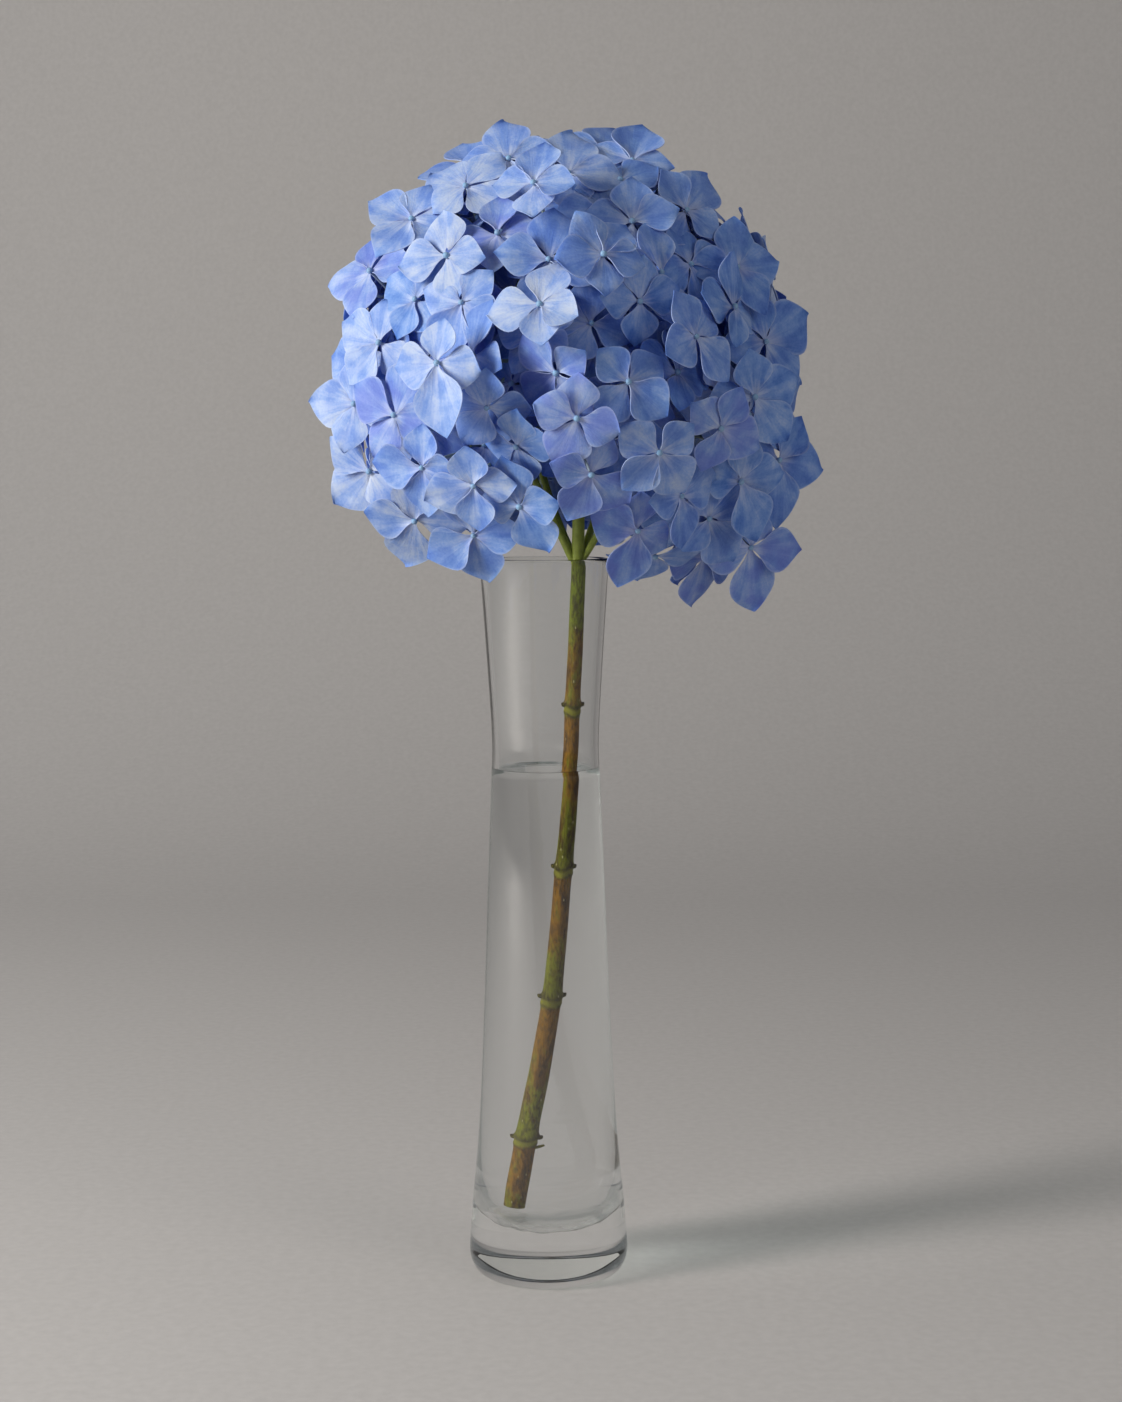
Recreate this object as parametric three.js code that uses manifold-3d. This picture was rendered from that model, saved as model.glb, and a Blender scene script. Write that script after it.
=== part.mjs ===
// Hydrangeas in a vase: one blue mophead hydrangea on its cut woody stem, standing in a tall,
// slim, clear glass vase of water. Millimetres, +Z up. The origin is the centre of the vase's foot.
import * as THREE from "three";
import { mergeVertices } from "three/addons/utils/BufferGeometryUtils.js";
import Module from "manifold-3d";

const wasm = await Module();
wasm.setup();

// Vase: blown glass, flared foot, narrow waist, fire-polished rim
const VASE_HEIGHT = 250;
const FOOT_FLAT_RADIUS = 22.3;
const FOOT_RADIUS = 27.8;
const FOOT_CORNER_HEIGHT = 8.6;
const RIM_RADIUS = 22.3;
const WALL = 2;
// Outer radius at a height, from the foot's widest ring to just under the rim
const OUTER_PROFILE = [
  [FOOT_RADIUS, FOOT_CORNER_HEIGHT],
  [26.6, 24.7],
  [24.0, 53.3],
  [21.9, 96],
  [20.3, 138],
  [18.9, 173],
  [18.55, 189],
  [20.2, 218],
  [RIM_RADIUS, VASE_HEIGHT - WALL / 2],
];
// Inner radius at a height, from under the rim down to the bowl above the solid glass base
const BOWL_FLOOR_HEIGHT = 17.5;
const BOWL_FLOOR_RADIUS = 9;
const BOWL_TOP_HEIGHT = 36;
const BOWL_TOP_RADIUS = 22.0;
const INNER_PROFILE = [
  [RIM_RADIUS - WALL, VASE_HEIGHT - WALL / 2],
  [18.1, 218],
  [16.5, 189],
  [16.8, 173],
  [18.1, 138],
  [19.6, 96],
  [21.4, 56],
  [BOWL_TOP_RADIUS, BOWL_TOP_HEIGHT],
];
const VASE_SIDES = 32;
const PROFILE_STEPS = 12;
const ARC_STEPS = 4;

// Water
const WATER_LEVEL = 177;

// Gap between pieces that touch
const SEAT_GAP = 0.3;

// Stem: woody, cut at the foot, with a swollen ring at each leaf node
const STEM_PATH = [
  [-8.5, 8.2, 19.6],
  [-5.4, 5.2, 46],
  [1.3, -1.2, 99],
  [4.9, -6.0, 142],
  [8.1, -8.9, 178],
  [9.3, -9.4, 202],
  [11.3, -12.9, 246],
  [11.2, -12.4, 262],
];
const STEM_FOOT_RADIUS = 2.9;
const STEM_TOP_RADIUS = 2.3;
const STEM_SIDES = 9;
const STEM_STEPS = 22;
const NODE_HEIGHTS = [45, 98, 144, 200, 257];
const NODE_SWELL = 1.1;
const NODE_HALF_LENGTH = 4;
// Steps along a node, in half lengths from its middle: the inner pair carries the swell
const NODE_STEPS = [-1, -0.35, 0.35, 1];
const LEAST_STEP = 0.012;

// Head: a near sphere of florets, open beneath, hanging lower on its right front side
const HEAD_CENTRE = new THREE.Vector3(7.7, -8, 313);
const CORE_RADIUS = 65;
const CORE_THICKNESS = 9;
const CORE_EDGE_ANGLE = 114;
const CORE_SIDES = 16;
const CORE_STEPS = 6;
const FLORET_COUNT = 86;
const FLORET_LAYERS = [74, 77, 80, 83, 86];
const LOWEST_FLORET_ANGLE = 126;
const SKIRT_EXTRA_ANGLE = 11;
const SKIRT_EXTRA_RADIUS = 4;
const SKIRT_AZIMUTH = -35;

// Floret: four broad sepals round a bead, following the round of the head
const SEPALS = 4;
const SEPAL_LENGTH = 24.5;
const SEPAL_THICKNESS = 1.3;
const BEAD_RADIUS = 2.1;
const BEAD_HEIGHT = 2.6;
const PEDICEL_ROOT_RADIUS = 2.6;
const FLORET_TILT = 5;
// How near two florets come, in sepal lengths, before they count as crowding each other
const CROWDING_REACH = 1.8;
// How much a floret in the same layer counts, and one in the next layer
const LAYER_CROWDING = [1, 0.25];
// The outline's four kinds of corner: how far out, as a part of the length, and how much raised
const SEPAL_OUTLINE = [
  { reach: 1, lift: -0.4 },
  { reach: 0.84, lift: 1.8 },
  { reach: 0.38, lift: -0.9 },
  { reach: 0.84, lift: 1.8 },
];

// Rays: the branches that carry the head from the top of the stem
const RAY_RINGS = [
  { polar: 22, count: 3, start: 15 },
  { polar: 58, count: 6, start: 40 },
  { polar: 92, count: 8, start: 10 },
];
const RAY_ROOT_RADIUS = 1.9;
const RAY_TIP_RADIUS = 1.2;
const RAY_SIDES = 5;
const RAY_STEPS = 4;
const RAY_BEND_PLACE = 0.55;
const RAY_SAG = 4;
const RAY_SAG_SPREAD = 6;
const SOCKET_DEPTH = 3;

const UP = new THREE.Vector3(0, 0, 1);
const FULL_TURN = Math.PI * 2;
const GOLDEN_TURN = Math.PI * (3 - Math.sqrt(5));
const toRad = THREE.MathUtils.degToRad;

/** Random numbers from 0 to 1 that are the same on every run. */
function seededRandom(seed) {
  let state = seed;
  return () => {
    state = (state * 1664525 + 1013904223) % 4294967296;
    return state / 4294967296;
  };
}

/** The closed solid of a geometry, with its shared vertices merged. */
function solidFrom(geometry) {
  const bare = geometry.clone();
  bare.deleteAttribute("normal");
  bare.deleteAttribute("uv");
  const merged = mergeVertices(bare, 1e-4);
  return new wasm.Manifold(
    new wasm.Mesh({
      numProp: 3,
      vertProperties: merged.attributes.position.array,
      triVerts: new Uint32Array(merged.index.array),
    }),
  );
}

/** The geometry of a solid, flat shaded. */
function geometryFrom(solid) {
  const { vertProperties, triVerts } = solid.getMesh();
  const shared = new THREE.BufferGeometry();
  shared.setAttribute("position", new THREE.BufferAttribute(vertProperties, 3));
  shared.setIndex(new THREE.BufferAttribute(triVerts, 1));
  const flat = shared.toNonIndexed();
  flat.computeVertexNormals();
  return flat;
}

/** The largest body of a solid: drops loose scraps and fills sealed hollows. */
function largestBody(solid) {
  const bodies = solid.decompose();
  return bodies.reduce((best, body) => (body.volume() > best.volume() ? body : best));
}

function vector2(pairs) {
  return pairs.map(([radius, height]) => new THREE.Vector2(radius, height));
}

function smoothProfile(pairs, steps) {
  return new THREE.SplineCurve(vector2(pairs)).getPoints(steps);
}

/** A quarter or half round stretch of a profile, from one angle to another in degrees. */
function roundProfile(centre, radii, from, to, steps) {
  const clockwise = to < from;
  const arc = new THREE.EllipseCurve(...centre, ...radii, toRad(from), toRad(to), clockwise);
  return arc.getPoints(steps);
}

/** A profile of radius and height turned round the Z axis. */
function turned(profile, sides) {
  return new THREE.LatheGeometry(profile, sides).rotateX(Math.PI / 2);
}

/** The rounded bowl inside the vase, from its top edge down and in to the axis. */
function bowlProfile(gap) {
  const depth = BOWL_TOP_HEIGHT - BOWL_FLOOR_HEIGHT - gap;
  const radii = [BOWL_TOP_RADIUS - BOWL_FLOOR_RADIUS - gap, depth];
  const bend = roundProfile([BOWL_FLOOR_RADIUS, BOWL_TOP_HEIGHT], radii, 0, -90, ARC_STEPS);
  return [...bend, new THREE.Vector2(0, BOWL_TOP_HEIGHT - depth)];
}

function vaseGeometry() {
  const cornerRadii = [FOOT_RADIUS - FOOT_FLAT_RADIUS, FOOT_CORNER_HEIGHT];
  const cornerCentre = [FOOT_FLAT_RADIUS, FOOT_CORNER_HEIGHT];
  const rimCentre = [RIM_RADIUS - WALL / 2, VASE_HEIGHT - WALL / 2];
  const rimRadii = [WALL / 2, WALL / 2];
  const profile = [
    new THREE.Vector2(0, 0),
    ...roundProfile(cornerCentre, cornerRadii, -90, 0, ARC_STEPS),
    ...smoothProfile(OUTER_PROFILE, PROFILE_STEPS).slice(1),
    ...roundProfile(rimCentre, rimRadii, 0, 180, ARC_STEPS).slice(1),
    ...smoothProfile(INNER_PROFILE, PROFILE_STEPS).slice(1),
    ...bowlProfile(0).slice(1),
  ];
  return turned(profile, VASE_SIDES);
}

/** The vase's inner radius at a height. */
function innerRadiusAt(height) {
  const points = smoothProfile(INNER_PROFILE, PROFILE_STEPS);
  const below = points.findIndex((point) => point.y <= height);
  const [high, low] = [points[below - 1], points[below]];
  return THREE.MathUtils.mapLinear(height, low.y, high.y, low.x, high.x);
}

function waterGeometry(stemHole) {
  const wet = smoothProfile(INNER_PROFILE, PROFILE_STEPS).filter((point) => point.y < WATER_LEVEL);
  wet.unshift(new THREE.Vector2(innerRadiusAt(WATER_LEVEL), WATER_LEVEL));
  const side = wet.map((point) => new THREE.Vector2(point.x - SEAT_GAP, point.y));
  const profile = [
    new THREE.Vector2(0, WATER_LEVEL),
    ...side,
    ...bowlProfile(SEAT_GAP).slice(1),
  ].reverse();
  return geometryFrom(largestBody(solidFrom(turned(profile, VASE_SIDES)).subtract(stemHole)));
}

/** A round limb along a curve, with its radius given at each step and `margin` added all round. */
function limb(curve, steps, sides, radiusAt, margin = 0) {
  const limbGeometry = new THREE.CylinderGeometry(1, 1, 1, sides, steps.length - 1);
  const position = limbGeometry.attributes.position;
  const start = curve.getPoint(0);
  const chord = curve.getPoint(1).sub(start).normalize();
  const side = Math.abs(chord.x) < 0.7 ? new THREE.Vector3(1, 0, 0) : new THREE.Vector3(0, 1, 0);
  for (let i = 0; i < position.count; i += 1) {
    const row = Math.round((position.getY(i) + 0.5) * (steps.length - 1));
    const along = steps[row];
    const tangent = curve.getTangent(along);
    const across = side.clone().addScaledVector(tangent, -side.dot(tangent)).normalize();
    const third = new THREE.Vector3().crossVectors(across, tangent);
    const radius = radiusAt(along) + margin;
    const point = curve.getPoint(along);
    if (row === 0) point.addScaledVector(tangent, -margin);
    if (row === steps.length - 1) point.addScaledVector(tangent, margin);
    point.addScaledVector(across, position.getX(i) * radius);
    point.addScaledVector(third, position.getZ(i) * radius);
    position.setXYZ(i, point.x, point.y, point.z);
  }
  return solidFrom(limbGeometry);
}

const stemCurve = new THREE.CatmullRomCurve3(
  STEM_PATH.map((point) => new THREE.Vector3(...point)),
  false,
  "centripetal",
);

/** How far along the stem, from 0 to 1, a height lies. */
function alongStemAt(height) {
  let [low, high] = [0, 1];
  for (let i = 0; i < 30; i += 1) {
    const middle = (low + high) / 2;
    if (stemCurve.getPoint(middle).z < height) low = middle;
    else high = middle;
  }
  return low;
}

/** The woody main stem: even steps, and extra ones that form each node's swollen ring. */
function mainStem(margin) {
  const evenSteps = Array.from({ length: STEM_STEPS + 1 }, (_, i) => i / STEM_STEPS);
  const nodeSteps = NODE_HEIGHTS.flatMap((height) =>
    NODE_STEPS.map((part) => alongStemAt(height + part * NODE_HALF_LENGTH)),
  );
  const isClear = (step) => nodeSteps.every((other) => Math.abs(other - step) > LEAST_STEP);
  const steps = [...evenSteps.filter(isClear), ...nodeSteps].sort((a, b) => a - b);
  const radiusAt = (along) => {
    const height = stemCurve.getPoint(along).z;
    const isInNode = NODE_HEIGHTS.some((node) => Math.abs(height - node) < NODE_HALF_LENGTH / 2);
    const swell = isInNode ? NODE_SWELL : 0;
    return THREE.MathUtils.lerp(STEM_FOOT_RADIUS, STEM_TOP_RADIUS, along) + swell;
  };
  return limb(stemCurve, steps, STEM_SIDES, radiusAt, margin);
}

/** The direction from the head's centre at an angle from the top and an azimuth, in radians. */
function headDirection(polar, azimuth) {
  const level = Math.sin(polar);
  return new THREE.Vector3(
    level * Math.cos(azimuth),
    level * Math.sin(azimuth),
    Math.cos(polar),
  );
}

/** The rays from the stem's top into the core, as curved tapering limbs. */
function rays(margin) {
  const fork = stemCurve.getPoint(alongStemAt(NODE_HEIGHTS[NODE_HEIGHTS.length - 1]));
  const steps = Array.from({ length: RAY_STEPS + 1 }, (_, i) => i / RAY_STEPS);
  const radiusAt = (along) => THREE.MathUtils.lerp(RAY_ROOT_RADIUS, RAY_TIP_RADIUS, along);
  const reach = CORE_RADIUS - CORE_THICKNESS + SOCKET_DEPTH;
  return RAY_RINGS.flatMap(({ polar, count, start }) =>
    Array.from({ length: count }, (_, i) => {
      const azimuth = toRad(start) + (i * FULL_TURN) / count;
      const outward = headDirection(toRad(polar), azimuth);
      const tip = HEAD_CENTRE.clone().addScaledVector(outward, reach);
      const sag = RAY_SAG + RAY_SAG_SPREAD * Math.sin(azimuth * 3);
      const bend = fork.clone().lerp(tip, RAY_BEND_PLACE).addScaledVector(UP, -sag);
      const curve = new THREE.QuadraticBezierCurve3(fork, bend, tip);
      return limb(curve, steps, RAY_SIDES, radiusAt, margin);
    }),
  );
}

/** Stem and rays as one solid, larger all round by a margin where it cuts its own socket. */
function stemSolid(margin) {
  return rays(margin).reduce((whole, ray) => whole.add(ray), mainStem(margin));
}

/** The domed core inside the florets: a thick shell, open beneath. */
function coreSolid() {
  const edge = CORE_EDGE_ANGLE - 90;
  const outer = roundProfile([0, 0], [CORE_RADIUS, CORE_RADIUS], -edge, 90, CORE_STEPS);
  const inside = CORE_RADIUS - CORE_THICKNESS;
  const inner = roundProfile([0, 0], [inside, inside], 90, -edge, CORE_STEPS);
  outer[outer.length - 1].x = 0;
  inner[0].x = 0;
  const profile = [...outer, ...inner, outer[0].clone()];
  const dome = turned(profile, CORE_SIDES);
  dome.translate(...HEAD_CENTRE.toArray());
  return solidFrom(dome);
}

/**
 * One floret facing +Z, bent to a sphere of radius `round`, with its pedicel rooted at `root`.
 * It is a cylinder whose five rings become the bead, both faces' outline and the pedicel's ends.
 */
function floretSolid(length, round, root) {
  const corners = SEPALS * SEPAL_OUTLINE.length;
  const floret = new THREE.CylinderGeometry(1, 1, 1, corners, 4);
  const position = floret.attributes.position;
  const half = SEPAL_THICKNESS / 2;
  for (let i = 0; i < position.count; i += 1) {
    const [x, y, z] = [position.getX(i), position.getY(i), position.getZ(i)];
    const isCentre = Math.hypot(x, z) < 0.5;
    const ring = Math.round((0.5 - y) * 4);
    const corner = (Math.round((Math.atan2(x, z) / FULL_TURN) * corners) + corners) % corners;
    const outline = SEPAL_OUTLINE[corner % SEPAL_OUTLINE.length];
    const outlineAngle = (corner / corners) * FULL_TURN;
    const innerAngle = (Math.floor((corner + 2) / 4) / SEPALS) * FULL_TURN;
    const place = new THREE.Vector3();
    if (ring === 1 || ring === 2) {
      const reach = length * outline.reach;
      const height = outline.lift - (reach * reach) / (2 * round);
      place.set(reach * Math.cos(outlineAngle), reach * Math.sin(outlineAngle), height);
      place.z += ring === 1 ? half : -half;
    } else {
      const radius = ring === 4 ? PEDICEL_ROOT_RADIUS : BEAD_RADIUS;
      if (!isCentre) place.set(radius * Math.cos(innerAngle), radius * Math.sin(innerAngle), 0);
      if (ring === 0) place.z = isCentre ? BEAD_HEIGHT : half;
      if (ring === 3) place.z = -half;
      if (ring === 4) place.add(root);
    }
    position.setXYZ(i, place.x, place.y, place.z);
  }
  return solidFrom(floret);
}

/** The layer, among those of the head, whose florets crowd a direction least. */
function clearestLayer(outward, placed) {
  const middle = FLORET_LAYERS[Math.floor(FLORET_LAYERS.length / 2)];
  const crowding = FLORET_LAYERS.map((_, layer) =>
    placed.reduce((sum, other) => {
      const away = other.outward.distanceTo(outward) * middle;
      const overlap = Math.max(0, SEPAL_LENGTH * CROWDING_REACH - away);
      const nearness = LAYER_CROWDING[Math.abs(other.layer - layer)] ?? 0;
      return sum + nearness * overlap * overlap;
    }, 0),
  );
  return crowding.indexOf(Math.min(...crowding));
}

/** All florets, spread evenly from the top down to the skirt by the golden angle. */
function floretSolids() {
  const random = seededRandom(7);
  const lowest = Math.cos(toRad(LOWEST_FLORET_ANGLE));
  const placed = [];
  return Array.from({ length: FLORET_COUNT }, (_, i) => {
    const azimuth = i * GOLDEN_TURN;
    const level = 1 - ((i + 0.5) / FLORET_COUNT) * (1 - lowest);
    const toSkirt = Math.max(0, Math.cos(azimuth - toRad(SKIRT_AZIMUTH)));
    const lowness = THREE.MathUtils.smoothstep(-level, -0.3, 0.5) * toSkirt;
    const polar = Math.acos(level) + toRad(SKIRT_EXTRA_ANGLE) * lowness;
    const outward = headDirection(polar, azimuth);
    const layer = clearestLayer(outward, placed);
    placed.push({ outward, layer });
    const radius = FLORET_LAYERS[layer] + SKIRT_EXTRA_RADIUS * lowness;
    const tiltAxis = headDirection(polar + Math.PI / 2, azimuth + (random() - 0.5) * 3);
    const tilt = toRad(FLORET_TILT) * (random() - 0.5) * 2;
    const facing = outward.clone().applyAxisAngle(tiltAxis, tilt);
    const aim = new THREE.Quaternion()
      .setFromUnitVectors(UP, facing)
      .multiply(new THREE.Quaternion().setFromAxisAngle(UP, random() * FULL_TURN));
    const place = outward.clone().multiplyScalar(radius).add(HEAD_CENTRE);
    const toWorld = new THREE.Matrix4().compose(place, aim, new THREE.Vector3(1, 1, 1));
    const rootPolar = Math.min(polar, toRad(CORE_EDGE_ANGLE - 4));
    const root = headDirection(rootPolar, azimuth)
      .multiplyScalar(CORE_RADIUS - CORE_THICKNESS / 2)
      .add(HEAD_CENTRE)
      .applyMatrix4(toWorld.clone().invert());
    const length = SEPAL_LENGTH * (0.95 + 0.1 * random());
    return floretSolid(length, radius, root).transform(toWorld.toArray());
  });
}

function bloomGeometry(sockets) {
  const core = coreSolid().subtract(sockets);
  const bloom = floretSolids().reduce((whole, floret) => whole.add(floret), core);
  return geometryFrom(largestBody(bloom.subtract(sockets)));
}

const glass = new THREE.MeshStandardMaterial({ color: 0xdfe8e6, roughness: 0.03, metalness: 0 });
const water = new THREE.MeshStandardMaterial({ color: 0xcfd6d2, roughness: 0.02, metalness: 0 });
const bark = new THREE.MeshStandardMaterial({ color: 0x6b6a33, roughness: 0.6, metalness: 0 });
const sepalBlue = new THREE.MeshStandardMaterial({ color: 0x7f9ad6, roughness: 0.55, metalness: 0 });

function part(name, geometry, material) {
  const mesh = new THREE.Mesh(geometry, material);
  mesh.name = name;
  return mesh;
}

const stemSocket = stemSolid(SEAT_GAP);
const hydrangea = new THREE.Group();
hydrangea.name = "hydrangea_in_vase";
hydrangea.add(part("vase", vaseGeometry(), glass));
hydrangea.add(part("water", waterGeometry(stemSocket), water));
hydrangea.add(part("stem", geometryFrom(largestBody(stemSolid(0))), bark));
hydrangea.add(part("bloom", bloomGeometry(stemSocket), sepalBlue));

export default hydrangea;
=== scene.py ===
"""Looks of a blue mophead hydrangea standing in a tall clear glass vase of water.

+Z is up and the origin is the centre of the vase's foot. The photograph is taken from -Y.
Pieces are modelled in millimetres and brought to metres when they are finished.
"""

import logging
import math
import random
from dataclasses import dataclass, field, replace
from enum import Enum
from typing import Sequence

import bmesh
import bpy
from mathutils import Matrix, Quaternion, Vector
from mathutils.bvhtree import BVHTree


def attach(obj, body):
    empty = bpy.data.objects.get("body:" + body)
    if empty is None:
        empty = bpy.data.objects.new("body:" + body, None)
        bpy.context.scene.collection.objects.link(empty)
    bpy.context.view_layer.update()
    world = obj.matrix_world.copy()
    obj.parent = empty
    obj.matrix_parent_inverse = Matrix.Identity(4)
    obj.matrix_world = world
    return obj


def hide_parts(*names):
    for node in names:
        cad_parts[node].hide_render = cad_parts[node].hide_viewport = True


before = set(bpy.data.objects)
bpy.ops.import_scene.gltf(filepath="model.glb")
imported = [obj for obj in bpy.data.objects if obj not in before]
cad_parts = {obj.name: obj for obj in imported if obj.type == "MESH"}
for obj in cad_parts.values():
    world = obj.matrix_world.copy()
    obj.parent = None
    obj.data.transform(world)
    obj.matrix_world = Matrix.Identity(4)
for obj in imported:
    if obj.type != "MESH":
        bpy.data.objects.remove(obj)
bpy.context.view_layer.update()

MM = 0.001
BODY = "root"
UP = Vector((0, 0, 1))
FULL_TURN = math.tau
GOLDEN_TURN = math.pi * (3 - math.sqrt(5))

log = logging.getLogger("hydrangea")

Pair = tuple[float, float]
Pixel = Pair
Point = tuple[float, float, float]
Colour = tuple[float, float, float, float]
Tree = bpy.types.NodeTree
Link = bpy.types.Node | bpy.types.NodeSocket
Bmesh = bmesh.types.BMesh
Vert = bmesh.types.BMVert


def linear(hex_colour: str) -> Colour:
    """Turn an sRGB hex colour into the linear colour that a shader reads.

    Args:
        hex_colour: six hex digits, with or without a leading #.

    Returns:
        Linear red, green, blue and an alpha of 1.
    """
    digits = hex_colour.lstrip("#")
    channels = [int(digits[i:i + 2], 16) / 255 for i in (0, 2, 4)]
    flat = [c / 12.92 if c <= 0.04045 else ((c + 0.055) / 1.055) ** 2.4 for c in channels]
    return (flat[0], flat[1], flat[2], 1.0)


def add_node(tree: Tree, kind: str, inputs: dict | None = None,
             **settings: object) -> bpy.types.Node:
    """Add a shader node with its settings, and fill or link its inputs.

    Args:
        tree: the node tree to add to.
        kind: the node's type name after "ShaderNode".
        inputs: socket index, name or identifier to a value, or to what it is linked from: an
            output socket, or a node for its first output.
        settings: the node's own properties.

    Returns:
        The new node.
    """
    node = tree.nodes.new("ShaderNode" + kind)
    for name, value in settings.items():
        setattr(node, name, value)
    for key, value in (inputs or {}).items():
        if isinstance(key, int):
            socket = node.inputs[key]
        else:
            socket = next(s for s in node.inputs if key in (s.identifier, s.name))
        if isinstance(value, bpy.types.Node):
            value = value.outputs[0]
        if isinstance(value, bpy.types.NodeSocket):
            tree.links.new(value, socket)
        else:
            socket.default_value = value
    return node


def lay_over(tree: Tree, colour: Link | Colour,
             layers: Sequence[tuple[Link, str]]) -> bpy.types.NodeSocket:
    """Lay hues over a colour one by one, each where its own share says.

    Args:
        tree: the material's node tree.
        colour: what lies beneath.
        layers: the share of each layer, from 0 to 1, and its sRGB hex colour.

    Returns:
        The colour that shows.
    """
    for share, hue in layers:
        colour = add_node(tree, "Mix", {"Factor_Float": share, "A_Color": colour,
                                        "B_Color": linear(hue)}, data_type="RGBA").outputs[2]
    return colour


def shade_by(tree: Tree, colour: Link | Colour, noise: Link,
             shades: Pair) -> bpy.types.NodeSocket:
    """Darken and lighten a colour by a noise.

    Args:
        tree: the material's node tree.
        colour: the even colour.
        noise: the noise, mostly between 0.3 and 0.7.
        shades: what the colour is multiplied by where the noise is low and high.

    Returns:
        The uneven colour.
    """
    shade = add_node(tree, "MapRange", {0: noise, 1: 0.3, 2: 0.7, 3: shades[0], 4: shades[1]})
    return add_node(tree, "Mix", {"Factor_Float": 1.0, "A_Color": colour, "B_Color": shade},
                    data_type="RGBA", blend_type="MULTIPLY").outputs[2]


def fill_ramp(ramp: bpy.types.ColorRamp, stops: Sequence[tuple[float, str]]) -> None:
    """Give a colour ramp three or more stops.

    Args:
        ramp: the ramp, with its first two stops.
        stops: the place of each stop, from 0 to 1, and its sRGB hex colour.
    """
    for extra in range(1, len(stops) - 1):
        ramp.elements.new(0.1 * extra)
    for element, (at, colour) in zip(ramp.elements, stops):
        element.position = at
        element.color = linear(colour)


class Finish:
    """What a piece is made of. Each kind has its name and gives its own surface."""

    name: str

    def surface(self, tree: Tree) -> bpy.types.Node:
        """Add the nodes of the surface and return its shader."""
        raise NotImplementedError

    def material(self) -> bpy.types.Material:
        """Build the material that shows the surface.

        Returns:
            The material.
        """
        material = bpy.data.materials.new(self.name)
        material.use_nodes = True
        tree = material.node_tree
        tree.nodes.clear()
        add_node(tree, "OutputMaterial", {"Surface": self.surface(tree)})
        return material


def smooth_step(value: float, low: float, high: float) -> float:
    """Rise smoothly from 0 at low to 1 at high."""
    part = min(1.0, max(0.0, (value - low) / (high - low)))
    return part * part * (3 - 2 * part)


def bell(value: float, middle: float, width: float) -> float:
    """A bell curve that is 1 at its middle."""
    return math.exp(-((value - middle) / width) ** 2)


def spiral(count: int, lowest: float, shift: float) -> list[Vector]:
    """Spread directions evenly over a cap, each turned from the last by the golden angle.

    Args:
        count: how many directions.
        lowest: how far down from the top they reach, in degrees.
        shift: how far the whole spiral is turned.

    Returns:
        The directions, from the top down.
    """
    edge = math.cos(math.radians(lowest))
    directions = []
    for i in range(count):
        polar = math.acos(1 - (i + 0.5) / count * (1 - edge))
        azimuth = i * GOLDEN_TURN + shift
        level = math.sin(polar)
        directions.append(Vector((level * math.cos(azimuth), level * math.sin(azimuth),
                                  math.cos(polar))))
    return directions


def catmull_rom(points: Sequence[Vector], steps: int) -> list[Vector]:
    """Follow a smooth curve through every point.

    Args:
        points: the points that the curve passes through.
        steps: how many equal steps of the curve to return.

    Returns:
        steps + 1 points along the curve.
    """
    path = []
    for i in range(steps + 1):
        at = i / steps * (len(points) - 1)
        k = min(int(at), len(points) - 2)
        t = at - k
        a, b, c, d = (points[min(max(j, 0), len(points) - 1)] for j in range(k - 1, k + 3))
        path.append(0.5 * (2 * b + (c - a) * t + (2 * a - 5 * b + 4 * c - d) * t ** 2
                           + (3 * b - a - 3 * c + d) * t ** 3))
    return path


def arc(centre: Pair, radii: Pair, start: float, end: float, steps: int) -> list[Vector]:
    """Follow an ellipse's arc in a profile of radius and height.

    Args:
        centre: radius and height of the ellipse's centre.
        radii: its two half axes, along the radius and the height.
        start: first angle in degrees, 0 pointing away from the axis.
        end: last angle in degrees.
        steps: how many equal steps to take.

    Returns:
        steps + 1 points, with the radius in x and the height in z.
    """
    angles = [math.radians(start + (end - start) * i / steps) for i in range(steps + 1)]
    return [Vector((centre[0] + radii[0] * math.cos(a), 0, centre[1] + radii[1] * math.sin(a)))
            for a in angles]


def spin_profile(bm: Bmesh, profile: Sequence[Vector], sides: int) -> None:
    """Turn an open profile into a closed round solid.

    Args:
        bm: the empty mesh to fill.
        profile: points with the radius in x, which start and end on the axis.
        sides: how many sides the solid has.
    """
    verts = [bm.verts.new(point) for point in profile]
    edges = [bm.edges.new(pair) for pair in zip(verts, verts[1:])]
    bmesh.ops.spin(bm, geom=verts + edges, axis=UP, cent=(0, 0, 0), angle=FULL_TURN,
                   steps=sides, use_merge=True)
    bmesh.ops.remove_doubles(bm, verts=bm.verts, dist=1e-4)
    bmesh.ops.recalc_face_normals(bm, faces=bm.faces)


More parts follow.
